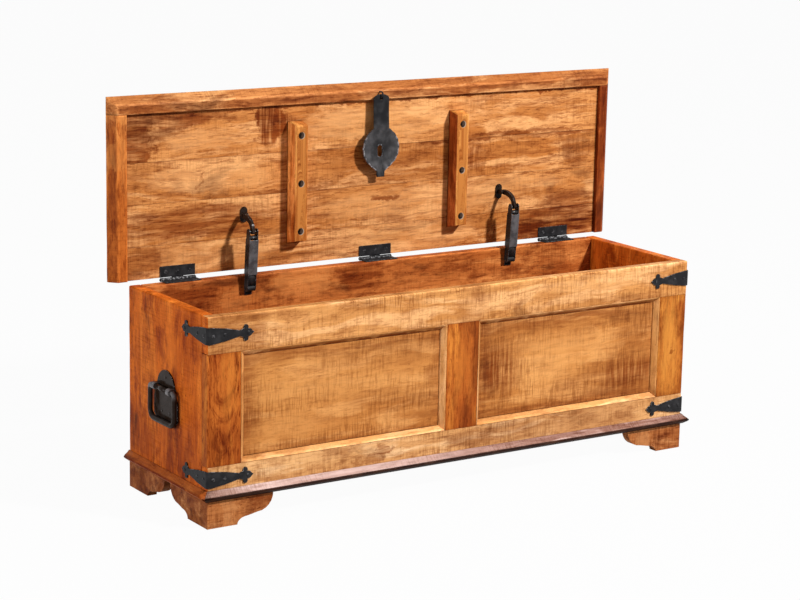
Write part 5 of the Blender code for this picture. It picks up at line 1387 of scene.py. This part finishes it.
def flat_plate(shape, outline, thickness, place, cuts=()):
    """A plate of an outline with eased upper edges; place turns flat coordinates and height into a point."""
    work = shape.work
    known = set(work.verts)
    bottom = [work.verts.new((x, y, 0)) for x, y in outline]
    face = work.faces.new(bottom)
    if face.normal.z < 0:
        face.normal_flip()
    grown = bmesh.ops.extrude_face_region(work, geom=[face])
    top = [item for item in grown["geom"] if isinstance(item, bmesh.types.BMVert)]
    for vert in top:
        vert.co.z = thickness
    rim = [edge for edge in work.edges if edge.verts[0].co.z > NEAR and edge.verts[1].co.z > NEAR
           and edge.verts[0] not in known and edge.verts[1] not in known]
    made = bmesh.ops.bevel(work, geom=rim, offset=IRON_EASE, segments=IRON_STEPS, profile=EASE_PROFILE,
                           affect="EDGES", clamp_overlap=True)
    eased = set(made["faces"])
    for vert in made["verts"]:
        if all(item in eased or abs(item.normal.z) < PLATE_SIDE for item in vert.link_faces):
            vert[shape.edge] = 1.0
    for cut_x in cuts:
        parts = [item for item in (*work.verts, *work.edges, *work.faces)
                 if not isinstance(item, bmesh.types.BMVert) or item not in known]
        bmesh.ops.bisect_plane(work, geom=parts, plane_co=(cut_x, 0, 0), plane_no=(1, 0, 0))
    fresh = [vert for vert in work.verts if vert not in known]
    for vert in fresh:
        vert.co = place(*vert.co)
    shape.mark(fresh, no_grain, 0.0)


def strap_arm(reach):
    """Upper edge of one strap arm, from the corner to the tip."""
    lobe_along = reach - STRAP_LOBE_BACK
    neck = lobe_along - STRAP_NECK_RUN
    lobe = arc((lobe_along, STRAP_LOBE_HALF - STRAP_LOBE_RADIUS), STRAP_LOBE_RADIUS, 180 + STRAP_LOBE_TURN,
               -STRAP_LOBE_TURN, 12)
    tip = arc((reach - STRAP_TIP_BACK, 0), STRAP_TIP_RADIUS, 105, 25, 6)
    bow = ((STRAP_SQUARE_RUN + neck) / 2, (STRAP_HALF_HEIGHT + STRAP_NECK_HALF) / 2 + STRAP_TAPER_BOW)
    return [(STRAP_SQUARE_RUN, STRAP_HALF_HEIGHT), bow, (neck, STRAP_NECK_HALF)] + lobe + tip + [(reach, 0)]


def strap_outline(reach):
    """Outline of a strap laid flat, with its two arms on either side of the fold."""
    upper = strap_arm(reach)
    right = upper + [(x, -y) for x, y in reversed(upper[:-1])]
    left = [(-x, y) for x, y in reversed(right)]
    return right[::-1] + left[::-1]


def folded(corner, side, start):
    """Place of a flat strap bent round a front corner: x along both arms, y up, z out."""
    middle = corner + Vector((-side * STRAP_BEND, STRAP_BEND, 0))
    quarter = STRAP_BEND * math.pi / 2

    def place(x, y, z):
        out = STRAP_BEND + start + z
        if x < -quarter / 2:
            spot = Vector((-side * (-x - quarter / 2), -out, y))
        elif x > quarter / 2:
            spot = Vector((side * out, x - quarter / 2, y))
        else:
            angle = (x / quarter + 0.5) * math.pi / 2
            spot = Vector((side * out * math.sin(angle), -out * math.cos(angle), y))
        return middle + spot
    return place


def build_straps():
    """Corner straps, each bent round a front corner, and their nails."""
    settings = bpy.context.scene.chest_iron
    box_low, box_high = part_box("bottom_board")
    seats = []
    for level in ("top", "bottom"):
        for name, side in SIDES:
            node = f"strap_{level}_{name}"
            low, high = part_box(node)
            corner = Vector((box_high.x * side, box_low.y, (low.z + high.z) / 2))
            arm = high.y - corner.y
            bend = STRAP_BEND * math.pi / 4
            reach = arm - STRAP_BEND + bend
            shape = Shape()
            cuts = [bend * share for share in STRAP_CUTS]
            flat_plate(shape, strap_outline(reach), STRAP_THICKNESS, folded(corner, side, SEAT_GAP), cuts)
            settle(f"corner_strap_{level}_{name}", shape.mesh(node), iron("black_iron"), "black_iron", node)
            out = SEAT_GAP + STRAP_THICKNESS
            for station in (*STRAP_NAILS, arm - STRAP_TIP_NAIL_BACK):
                seats.append((corner + Vector((-side * station, -out, 0)), -Y_AXIS))
                seats.append((corner + Vector((side * out, station, 0)), X_AXIS * side))
    heads = placed_heads("domed_nail", seats, settings.nail_radius, settings.nail_height, iron("black_iron"))
    settle("strap_nail_heads", heads, iron("black_iron"), "black_iron", body="chest", weighted=False)


def slab(shape, low, high, ease=IRON_EASE):
    """A flat iron bar between two corners with eased edges."""
    low = Vector(low)
    high = Vector(high)
    bar = Shape()
    bar.take(box_mesh(high - low, (low + high) / 2), ease, IRON_STEPS, no_grain, 0.0)
    shape.work.from_mesh(bar.mesh("slab"))


def hinge_leaf(shape, middle, half, spans, upright):
    """One leaf with its knuckles; upright leaves stand on the lid."""
    far = PIN_BEHIND + LEAF_DEPTH
    near = KNUCKLE_RADIUS + 2 * SEAT_GAP

    def corner(x, ahead, level):
        if upright:
            return middle + Vector((x, level, ahead))
        return middle + Vector((x, -ahead, -level))

    inner = LEAF_HALF_GAP
    outer = LEAF_HALF_GAP + LEAF_THICKNESS
    pieces = [(-half, half, near, far)] + [(start, end, 0.0, near + LEAF_LAP) for start, end in spans]
    for start, end, close, away in pieces:
        first = corner(start, close, inner)
        second = corner(end, away, outer)
        low = [min(first[axis], second[axis]) for axis in range(3)]
        high = [max(first[axis], second[axis]) for axis in range(3)]
        slab(shape, low, high, LEAF_EASE)
    sides = bpy.context.scene.chest_iron.round_sides
    for start, end in spans:
        ends = (middle + X_AXIS * start, middle + X_AXIS * end)
        shape.loft(rod_rings(*ends, KNUCKLE_RADIUS, sides, KNUCKLE_EASE), no_grain, 0.0)


def build_hinges():
    """Butt hinges with their knuckles, pins and screws."""
    settings = bpy.context.scene.chest_iron
    pin = joint_place("lid_hinge")
    low_seats = []
    high_seats = []
    for name in ("left", "centre", "right"):
        lower = f"hinge_{name}_lower_leaf"
        upper = f"hinge_{name}_upper_leaf"
        low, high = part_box(lower)
        half = (high.x - low.x) / 2
        middle = Vector(((low.x + high.x) / 2, pin.y, pin.z))
        pitch = 2 * half / KNUCKLES
        spans = [(-half + index * pitch + SEAT_GAP / 2, -half + (index + 1) * pitch - SEAT_GAP / 2)
                 for index in range(KNUCKLES)]
        for node, own, upright in ((lower, spans[0::2], False), (upper, spans[1::2], True)):
            shape = Shape()
            hinge_leaf(shape, middle, half, own, upright)
            if not upright:
                reach = X_AXIS * (half + PIN_END)
                ends = (middle - reach, middle + reach)
                shape.loft(rod_rings(*ends, PIN_RADIUS, settings.round_sides, KNUCKLE_EASE), no_grain, 0.0)
            settle(node.replace("hinge_", "butt_"), shape.mesh(node), iron("black_iron"), "black_iron", node)
        ahead = PIN_BEHIND + LEAF_DEPTH / 2
        for step in (-1, 0, 1):
            x = middle.x + step * LEAF_SCREW_PITCH
            low_seats.append((Vector((x, pin.y - ahead, pin.z - LEAF_HALF_GAP)), Z_AXIS))
            high_seats.append((Vector((x, pin.y + LEAF_HALF_GAP, pin.z + ahead)), -Y_AXIS))
    for name, seats, body in (("box", low_seats, "chest"), ("lid", high_seats, "lid")):
        heads = placed_heads("slotted_screw", seats, settings.screw_radius, HINGE_SCREW_HEIGHT,
                             iron("black_iron"))
        settle(f"hinge_screws_{name}", heads, iron("black_iron"), "black_iron", body=body, weighted=False)


def handle_outline():
    """A handle's backplate: a dome over a wider skirt with cut corners."""
    dome = arc((0, 0), HANDLE_PLATE_HALF, 0, 180, 28)
    low = -HANDLE_PLATE_DROP
    foot = HANDLE_SKIRT_HALF - HANDLE_CHAMFER
    left = [(-HANDLE_SKIRT_HALF, -HANDLE_SKIRT_DROP), (-HANDLE_SKIRT_HALF, low + HANDLE_CHAMFER),
            (-foot, low)]
    return dome + left + [(-x, y) for x, y in reversed(left)]


def bail_path():
    """Points of a bail as y and z from its pivot, and its radius at each: stubs, sides and a heavier bar."""
    inner = HANDLE_POST_IN + SEAT_GAP
    clear = HANDLE_POST_OUT + SEAT_GAP
    shoulder = arc((BAIL_HALF_WIDTH - BAIL_SHOULDER, -BAIL_SHOULDER), BAIL_SHOULDER, 90, 0, 6)
    corner = arc((BAIL_HALF_WIDTH - BAIL_CORNER, BAIL_CORNER - BAIL_DROP), BAIL_CORNER, 0, -90, 9)
    shoulder.append((BAIL_HALF_WIDTH, -2 * BAIL_SHOULDER))
    grip = (BAIL_HALF_WIDTH * BAIL_GRIP_SHARE, -BAIL_DROP)
    half = [(inner, 0.0), (clear, 0.0)] + shoulder + corner + [grip]
    radii = [BAIL_STUB_RADIUS] * 2 + [BAIL_RADIUS * BAIL_SIDE_SHARE] * len(shoulder)
    for step in range(len(corner)):
        radii.append(BAIL_RADIUS * (BAIL_SIDE_SHARE + BAIL_SIDE_GAIN * step / len(corner)))
    radii.append(BAIL_RADIUS)
    return half + [(-y, z) for y, z in reversed(half)], radii + radii[::-1]


def swept(points, radii, sides):
    """Rings of a round bar along points in the plane of y and z."""
    rings = []
    for index, (y, z) in enumerate(points):
        before = points[max(index - 1, 0)]
        after = points[min(index + 1, len(points) - 1)]
        along = Vector((0, after[0] - before[0], after[1] - before[1])).normalized()
        other = along.cross(X_AXIS)
        ring = []
        for step in range(sides):
            angle = 2 * math.pi * step / sides
            spoke = X_AXIS * math.cos(angle) + other * math.sin(angle)
            ring.append((Vector((0, y, z)) + spoke * radii[index], 0.0))
        rings.append(ring)
    return rings


def knuckle_rub_and_glint(away):
    """How far a handle's posts are rubbed through and given a painted glint, at a place from the pivot."""
    on_knuckle = HANDLE_BAR_RADIUS + NEAR < math.hypot(away.x, away.z) < HANDLE_POST_RADIUS + NEAR
    return KNUCKLE_RUB_AND_GLINT if on_knuckle and abs(away.y) > HANDLE_POST_IN - NEAR else 0.0


def shoulder_rub_and_glint(away):
    """How far a bail's shoulders are rubbed through and given a painted glint, at a place from the pivot."""
    on_shoulder = abs(away.y) > HANDLE_POST_OUT and away.z > -BAIL_SHOULDER
    return SHOULDER_RUB_AND_GLINT if on_shoulder else 0.0


def build_handles():
    """Drop handles: a backplate with posts and screws, and a bail."""
    settings = bpy.context.scene.chest_iron
    seats = []
    for name, side in SIDES:
        axis = joint_place(f"{name}_handle_swing")
        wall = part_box(f"{name}_side")[0 if side < 0 else 1].x
        back = wall + side * SEAT_GAP
        shape = Shape()
        flat_plate(shape, handle_outline(), HANDLE_PLATE_THICKNESS,
                   lambda x, y, z: Vector((back + side * z, axis.y + x, axis.z + y)))
        for end in (-1, 1):
            near = axis + Y_AXIS * end * HANDLE_POST_IN
            far = axis + Y_AXIS * end * HANDLE_POST_OUT
            post = rod_rings(near, far, HANDLE_POST_RADIUS, settings.round_sides, HANDLE_POST_EASE)
            shape.loft(post, no_grain, 0.0)
            spans = sorted((near.y, far.y))
            depth = sorted((back + side * HANDLE_PLATE_THICKNESS / 2, axis.x))
            slab(shape, (depth[0], spans[0] + SEAT_GAP, axis.z - HANDLE_WEB_HALF),
                 (depth[1], spans[1] - SEAT_GAP, axis.z + HANDLE_WEB_HALF))
        ends = (axis - Y_AXIS * (HANDLE_POST_IN + SEAT_GAP), axis + Y_AXIS * (HANDLE_POST_IN + SEAT_GAP))
        shape.loft(rod_rings(*ends, HANDLE_BAR_RADIUS, settings.round_sides), no_grain, 0.0)
        shape.paint_rub_and_glint(knuckle_rub_and_glint, axis)
        settle(f"handle_{name}_back", shape.mesh("back"), iron("bronzed_iron"), "bronze_iron",
               f"handle_{name}_plate")
        points, radii = bail_path()
        shape = Shape()
        rings = [[(spot + axis, edge) for spot, edge in ring] for ring in swept(points, radii, BAIL_SIDES)]
        shape.loft(rings, no_grain, 0.0)
        shape.paint_rub_and_glint(shoulder_rub_and_glint, axis)
        settle(f"handle_{name}_drop", shape.mesh("bail"), iron("bronzed_iron"), "bronze_iron",
               f"handle_{name}_bail")
        out = back + side * HANDLE_PLATE_THICKNESS
        for y, z in ((0, HANDLE_SCREW_RISE), (HANDLE_SCREW_SPREAD, -HANDLE_SCREW_DROP),
                     (-HANDLE_SCREW_SPREAD, -HANDLE_SCREW_DROP)):
            seats.append((Vector((out, axis.y + y, axis.z + z)), X_AXIS * side))
    heads = placed_heads("domed_nail", seats, settings.nail_radius * HANDLE_SCREW_SHARE,
                         HANDLE_SCREW_HEIGHT, iron("bronzed_iron"))
    settle("handle_screw_heads", heads, iron("bronzed_iron"), "bronze_iron", body="chest", weighted=False)


def stay_line(name):
    """A stay's pivot on the box and its elbow. The link keeps parallel to the line from hinge to pivot."""
    pivot = joint_place(f"{name}_stay_pivot")
    step = pivot - joint_place("lid_hinge")
    return pivot, joint_place(f"{name}_stay_lid_pivot") + Vector((0, step.y, step.z))


def fill_channel(shape, pivot, elbow):
    """Close a channel's ends between their ears, and paint a highlight on its face."""
    along = (elbow - pivot).normalized()
    forward = X_AXIS.cross(along)
    reach = (elbow - pivot).length
    head = reach - CHANNEL_HEAD

    def face_glint(away):
        on_face = CHANNEL_START - CHANNEL_FACE_SLACK < away.dot(along) < head + CHANNEL_FACE_SLACK
        return CHANNEL_GLINT if on_face and away.dot(forward) > CHANNEL_FACE_OUT else 0.0

    shape.paint_rub_and_glint(face_glint, pivot)
    turn = Matrix((X_AXIS, along, forward)).transposed().to_4x4()
    for start, end in ((CHANNEL_PIVOT_CLEAR, CHANNEL_START), (head, reach - CHANNEL_PIVOT_CLEAR)):
        size = Vector((2 * CHANNEL_FILL_HALF, end - start, CHANNEL_FILL_DEPTH))
        mesh = box_mesh(size, Vector((0, (start + end) / 2, CHANNEL_FILL_OUT)))
        mesh.transform(Matrix.Translation(pivot) @ turn)
        shape.work.from_mesh(mesh)


def build_stays():
    """Lid stays: bracket, channel, link and lid foot, with eased edges."""
    finishes = {"bracket": "black_iron", "channel": "channel_iron", "link": "bronzed_iron",
                "foot": "bronzed_iron"}
    for name in SIDE_NAMES:
        for part, finish in finishes.items():
            node = f"stay_{name}_{part}"
            shape = Shape()
            shape.take(frame["nodes"][node].data, STAY_EASE, IRON_STEPS, no_grain, 0.0, STAY_SHARP_ANGLE)
            if part == "channel":
                fill_channel(shape, *stay_line(name))
            slot = "bronze_iron" if part == "channel" else "black_iron"
            settle(f"lid_stay_{name}_{part}", shape.mesh(node), iron(finish), slot, node)


def hasp_reach(angle):
    """Distance of the hasp's edge from the disc's middle: a hammered round that draws out to a tab below."""
    ripple = HASP_SCALLOP_DEPTH * abs(math.sin(HASP_SCALLOPS * angle / 2))
    below = abs(math.degrees(math.atan2(math.sin(angle + math.pi / 2), math.cos(angle + math.pi / 2))))
    turn = 90 - HASP_TAB_TURN
    tab = math.degrees(math.atan2(HASP_TAB_HALF, HASP_TIP_REACH))
    if below >= turn:
        return HASP_DISC_RADIUS - ripple
    if below <= tab:
        return HASP_TAB_REACH / math.cos(math.radians(below))
    start = Vector((HASP_DISC_RADIUS * math.sin(math.radians(turn)),
                    HASP_DISC_RADIUS * math.cos(math.radians(turn))))
    end = Vector((HASP_TAB_HALF, HASP_TIP_REACH))
    ray = Vector((math.sin(math.radians(below)), math.cos(math.radians(below))))
    line = end - start
    return (start.x * line.y - start.y * line.x) / (ray.x * line.y - ray.y * line.x) - ripple * 0.5


def slot_reach(angle):
    """Distance of the slot's edge from its middle."""
    straight = HASP_SLOT_HALF_LENGTH - HASP_SLOT_HALF_WIDTH
    across = abs(math.cos(angle))
    if across * straight < abs(math.sin(angle)) * HASP_SLOT_HALF_WIDTH:
        rise = straight * abs(math.sin(angle))
        return rise + math.sqrt(HASP_SLOT_HALF_WIDTH ** 2 - (straight * across) ** 2)
    return HASP_SLOT_HALF_WIDTH / across


def hasp_relief(x, y, share):
    """How far the hasp's face stands out: a dished disc with a beaten edge."""
    depth, scale = HASP_BEATEN
    dish = HASP_DISH * (share ** 2 - HASP_DISH_LEVEL)
    beaten = depth * noise.noise(Vector((x, y, 0)) * scale)
    petals = HASP_PETAL * math.sin(HASP_SCALLOPS * math.atan2(y, x)) * share ** 4
    return dish + beaten + petals


def hasp_rub_and_sheen(reach):
    """How far the hasp's face is rubbed through and given a painted sheen: most half way out, and less by its
    slot and its edge.
    """
    rising = 1.2 * reach - 0.2
    falling = 2.2 - 1.7 * reach
    return max(0.0, min(HASP_RUB_AND_SHEEN, rising, falling))


def hasp_sheet(work):
    """The hasp's face as a grid: rings round the slot, and rows up its strap."""
    shoulder = math.acos(HASP_STRAP_HALF / HASP_DISC_RADIUS)
    angles = [2 * math.pi * step / HASP_TURNS for step in range(HASP_TURNS)]
    rings = []
    for ring in range(HASP_RINGS + 1):
        share = ring / HASP_RINGS
        row = []
        for angle in angles:
            low = slot_reach(angle)
            middle = -HASP_SLOT_BELOW * (1 - share)
            in_strap = shoulder < angle < math.pi - shoulder
            far = HASP_DISC_RADIUS if in_strap else hasp_reach(angle)
            reach = low + (far - low) * share
            x = reach * math.cos(angle)
            y = reach * math.sin(angle) + middle
            row.append(work.verts.new((x, y, hasp_relief(x, y, share))))
        rings.append(row)
    for low, high in zip(rings, rings[1:]):
        for index in range(HASP_TURNS):
            work.faces.new((low[index - 1], low[index], high[index], high[index - 1]))
    columns = [vert for vert, angle in zip(rings[-1], angles) if shoulder <= angle <= math.pi - shoulder]
    head = HASP_DISC_DROP + HASP_ABOVE_EYE - HASP_HEAD_RISE
    depth, scale = HASP_STRAP_BEATEN
    previous = columns
    for row in range(1, HASP_ROWS + 1):
        share = row / HASP_ROWS
        line = []
        for vert in columns:
            across = min(1.0, abs(vert.co.x) / HASP_STRAP_HALF)
            top = head + HASP_HEAD_RISE * math.sqrt(max(0.0, 1 - across ** 2))
            y = vert.co.y + (top - vert.co.y) * share
            z = vert.co.z * (1 - share) ** 2 + depth * noise.noise(Vector((vert.co.x, y, 1)) * scale)
            line.append(work.verts.new((vert.co.x, y, z)))
        for index in range(1, len(line)):
            work.faces.new((previous[index - 1], previous[index], line[index], line[index - 1]))
        previous = line


def build_hasp():
    """The staple in the rim and the hasp that hangs from it."""
    axis = joint_place("hasp_pivot")
    work = bmesh.new()
    hasp_sheet(work)
    bmesh.ops.recalc_face_normals(work, faces=work.faces)
    if sum(face.normal.z for face in work.faces) < 0:
        bmesh.ops.reverse_faces(work, faces=work.faces)
    edge = work.verts.layers.float.new("edge")
    rubbed_and_glint = work.verts.layers.float.new("rubbed_and_glint")
    for vert in work.verts:
        nicked = vert.is_boundary and HASP_NICKED[0] < vert.co.y / HASP_DISC_RADIUS < HASP_NICKED[1]
        vert[edge] = 1.0 if nicked else 0.0
        reach = vert.co.length / HASP_DISC_RADIUS
        # The disc is rubbed through and given a painted sheen.
        vert[rubbed_and_glint] = hasp_rub_and_sheen(reach)
        turn = HASP_SCALLOPS * math.atan2(vert.co.y, vert.co.x) / 2
        if nicked and reach > HASP_BEAD_REACH and abs(math.sin(turn)) > HASP_BEAD:
            vert[rubbed_and_glint] = HASP_BEAD_BARE
    holder = new_object("hasp_sheet", mesh_from(work, "hasp_sheet"))
    thick = holder.modifiers.new("thick", "SOLIDIFY")
    thick.thickness = HASP_THICKNESS
    thick.offset = 0
    thick.use_even_offset = True
    soften = holder.modifiers.new("soften", "BEVEL")
    soften.width = IRON_EASE
    soften.segments = IRON_STEPS
    soften.limit_method = "ANGLE"
    soften.angle_limit = HASP_SHARP_ANGLE
    mesh = evaluated_mesh(holder)
    centre = axis - Z_AXIS * (HASP_EYE_DROP + HASP_DISC_DROP)
    mesh.transform(Matrix.Translation(centre) @ Matrix.Rotation(math.radians(90), 4, "X"))
    mesh.materials.append(iron("hasp_iron"))
    eye = axis - Z_AXIS * HASP_EYE_DROP
    through = Y_AXIS * HASP_EYE_CUT
    mesh = subtracted(mesh, rod_mesh(eye - through, eye + through, HASP_EYE_RADIUS, HASP_EYE_SIDES))
    mesh.shade_smooth()
    settle("forged_hasp", mesh, iron("hasp_iron"), "black_iron", "hasp")
    shape = Shape()
    shape.take(frame["nodes"]["hasp_staple"].data, STAPLE_EASE, 1, no_grain, 0.0, STAPLE_SHARP_ANGLE)
    settle("staple_wire", shape.mesh("staple"), iron("black_iron"), "black_iron", "hasp_staple")


# Studio

FLOOR_SIZE = 60.0
FLOOR_WHITE = 0.5
FLOOR_ROUGHNESS = 0.9
FLOOR_GLOW = 0.965
LAMP_TARGET = (0, 0, 0.3)
LAMP_PLACES = {"key": (2.1, -3.6, 3.5), "fill": (-3.3, -0.3, 0.95), "top": (0.2, -0.5, 2.8)}
LAMP_SIZES = {"key": (0.45, 0.35), "fill": (1.0, 0.7), "top": (2.4, 1.4)}


def area_light(name, place, target, size, power):
    """A soft lamp that faces a place."""
    lamp = bpy.data.lights.new(name, "AREA")
    lamp.shape = "RECTANGLE"
    lamp.size, lamp.size_y = size
    lamp.energy = power
    item = new_object(name, lamp)
    item.location = place
    item.rotation_euler = (Vector(target) - Vector(place)).to_track_quat("-Z", "Y").to_euler()


def seen_white(tree):
    """1 for rays that come from the camera, from a gloss or through glass."""
    path = add(tree, "ShaderNodeLightPath")
    seen = calc(tree, "MAXIMUM", path.outputs["Is Camera Ray"], path.outputs["Is Glossy Ray"])
    return calc(tree, "MAXIMUM", seen, path.outputs["Is Transmission Ray"])


def build_stage():
    """A pale floor, soft lamps, a white surround and the camera."""
    studio = bpy.context.scene.chest_studio
    scene = bpy.context.scene
    work = bmesh.new()
    bmesh.ops.create_grid(work, x_segments=1, y_segments=1, size=FLOOR_SIZE / 2)
    floor = new_object("floor", mesh_from(work, "floor"))
    material, tree, shader = blank_material("pale_floor")
    shader.inputs["Base Color"].default_value = (FLOOR_WHITE, FLOOR_WHITE, FLOOR_WHITE, 1)
    shader.inputs["Roughness"].default_value = FLOOR_ROUGHNESS
    shader.inputs["Specular IOR Level"].default_value = 0.0
    glow = add(tree, "ShaderNodeEmission", {"Color": WHITE, "Strength": 1.0})
    share = calc(tree, "MULTIPLY", seen_white(tree), FLOOR_GLOW)
    mixed = add(tree, "ShaderNodeMixShader", {0: share, 1: shader.outputs[0], 2: glow.outputs[0]})
    tree.links.new(mixed.outputs[0], tree.nodes["Material Output"].inputs["Surface"])
    floor.data.materials.append(material)
    world = bpy.data.worlds.new("studio")
    world.use_nodes = True
    tree = world.node_tree
    tree.nodes["Background"].inputs["Strength"].default_value = studio.ambient
    white = add(tree, "ShaderNodeBackground", {"Color": WHITE, "Strength": 1.0})
    tree.nodes["Background"].inputs["Color"].default_value = WHITE
    mixed = add(tree, "ShaderNodeMixShader", {0: seen_white(tree), 1: tree.nodes["Background"].outputs[0],
                                              2: white.outputs[0]})
    tree.links.new(mixed.outputs[0], tree.nodes["World Output"].inputs["Surface"])
    scene.world = world
    for name, power in (("key", studio.key_power), ("fill", studio.fill_power), ("top", studio.top_power)):
        area_light(name, LAMP_PLACES[name], LAMP_TARGET, LAMP_SIZES[name], power)
    forward = Vector((-math.sin(studio.azimuth) * math.cos(studio.elevation),
                      math.cos(studio.azimuth) * math.cos(studio.elevation), -math.sin(studio.elevation)))
    level = Vector((math.cos(studio.azimuth), math.sin(studio.azimuth), 0))
    above = level.cross(forward)
    right = level * math.cos(studio.roll) + above * math.sin(studio.roll)
    up = above * math.cos(studio.roll) - level * math.sin(studio.roll)
    camera = new_object("camera", bpy.data.cameras.new("camera"))
    camera.data.lens = studio.lens
    turn = Matrix((right, up, -forward)).transposed().to_4x4()
    camera.matrix_world = Matrix.Translation(studio.place) @ turn
    scene.camera = camera
    scene.view_settings.view_transform = "Standard"


# Add-on

class CHEST_OT_front(Operator):
    """Replace the rails and stiles with worn boards"""
    bl_idname = "chest.front"
    bl_label = "Framed Front"

    def execute(self, context):
        build_front()
        return {"FINISHED"}


class CHEST_OT_panels(Operator):
    """Replace the sunk panels and their mouldings"""
    bl_idname = "chest.panels"
    bl_label = "Panels"

    def execute(self, context):
        build_panels()
        return {"FINISHED"}


class CHEST_OT_walls(Operator):
    """Replace the sides, the back and the bottom"""
    bl_idname = "chest.walls"
    bl_label = "Walls"

    def execute(self, context):
        build_walls()
        return {"FINISHED"}


class CHEST_OT_base(Operator):
    """Replace the base mouldings and the bracket feet"""
    bl_idname = "chest.base"
    bl_label = "Base"

    def execute(self, context):
        build_base()
        return {"FINISHED"}


class CHEST_OT_lid(Operator):
    """Replace the lid's planks and rim"""
    bl_idname = "chest.lid"
    bl_label = "Lid"

    def execute(self, context):
        build_lid()
        return {"FINISHED"}


class CHEST_OT_battens(Operator):
    """Replace the lid's battens and their screws"""
    bl_idname = "chest.battens"
    bl_label = "Battens"

    def execute(self, context):
        build_battens()
        return {"FINISHED"}


class CHEST_OT_straps(Operator):
    """Replace the corner straps and add their nails"""
    bl_idname = "chest.straps"
    bl_label = "Corner Straps"

    def execute(self, context):
        build_straps()
        return {"FINISHED"}


class CHEST_OT_hinges(Operator):
    """Replace the hinges and add their screws"""
    bl_idname = "chest.hinges"
    bl_label = "Hinges"

    def execute(self, context):
        build_hinges()
        return {"FINISHED"}


class CHEST_OT_handles(Operator):
    """Replace the side handles and add their screws"""
    bl_idname = "chest.handles"
    bl_label = "Handles"

    def execute(self, context):
        build_handles()
        return {"FINISHED"}


class CHEST_OT_stays(Operator):
    """Replace the lid stays"""
    bl_idname = "chest.stays"
    bl_label = "Lid Stays"

    def execute(self, context):
        build_stays()
        return {"FINISHED"}


class CHEST_OT_hasp(Operator):
    """Replace the hasp and its staple"""
    bl_idname = "chest.hasp"
    bl_label = "Hasp"

    def execute(self, context):
        build_hasp()
        return {"FINISHED"}


class CHEST_OT_stage(Operator):
    """Set up the floor, the lights and the camera"""
    bl_idname = "chest.stage"
    bl_label = "Studio"

    def execute(self, context):
        build_stage()
        return {"FINISHED"}


OPERATORS = (CHEST_OT_front, CHEST_OT_panels, CHEST_OT_walls, CHEST_OT_base, CHEST_OT_lid,
             CHEST_OT_battens, CHEST_OT_straps, CHEST_OT_hinges, CHEST_OT_handles, CHEST_OT_stays,
             CHEST_OT_hasp, CHEST_OT_stage)


class CHEST_PT_sidebar(Panel):
    """Lists the chest's operators and settings"""
    bl_idname = "CHEST_PT_sidebar"
    bl_label = "Storage Chest"
    bl_space_type = "VIEW_3D"
    bl_region_type = "UI"
    bl_category = "Chest"

    def draw(self, context):
        for group in (context.scene.chest_boards, context.scene.chest_iron, context.scene.chest_studio):
            for name in group.bl_rna.properties.keys():
                if name not in ("rna_type", "name"):
                    self.layout.prop(group, name)
        for operator in OPERATORS:
            self.layout.operator(operator.bl_idname)


CLASSES = (BoardSettings, IronSettings, StudioSettings, *OPERATORS, CHEST_PT_sidebar)
SETTINGS = {"chest_boards": BoardSettings, "chest_iron": IronSettings, "chest_studio": StudioSettings}


def register():
    """Register the classes and their settings."""
    for item in CLASSES:
        bpy.utils.register_class(item)
    for name, group in SETTINGS.items():
        setattr(bpy.types.Scene, name, PointerProperty(type=group))


def unregister():
    """Remove the settings and the classes."""
    for name in SETTINGS:
        delattr(bpy.types.Scene, name)
    for item in reversed(CLASSES):
        bpy.utils.unregister_class(item)


def main():
    """Build every piece round the solids."""
    register()
    grain_group()
    patch_group()
    hammered_group()
    head_tree("domed_nail", False)
    head_tree("slotted_screw", True)
    for name in ("front", "panels", "walls", "base", "lid", "battens", "straps", "hinges", "handles", "stays",
                 "hasp", "stage"):
        getattr(bpy.ops.chest, name)()


if __name__ == "__main__":
    main()
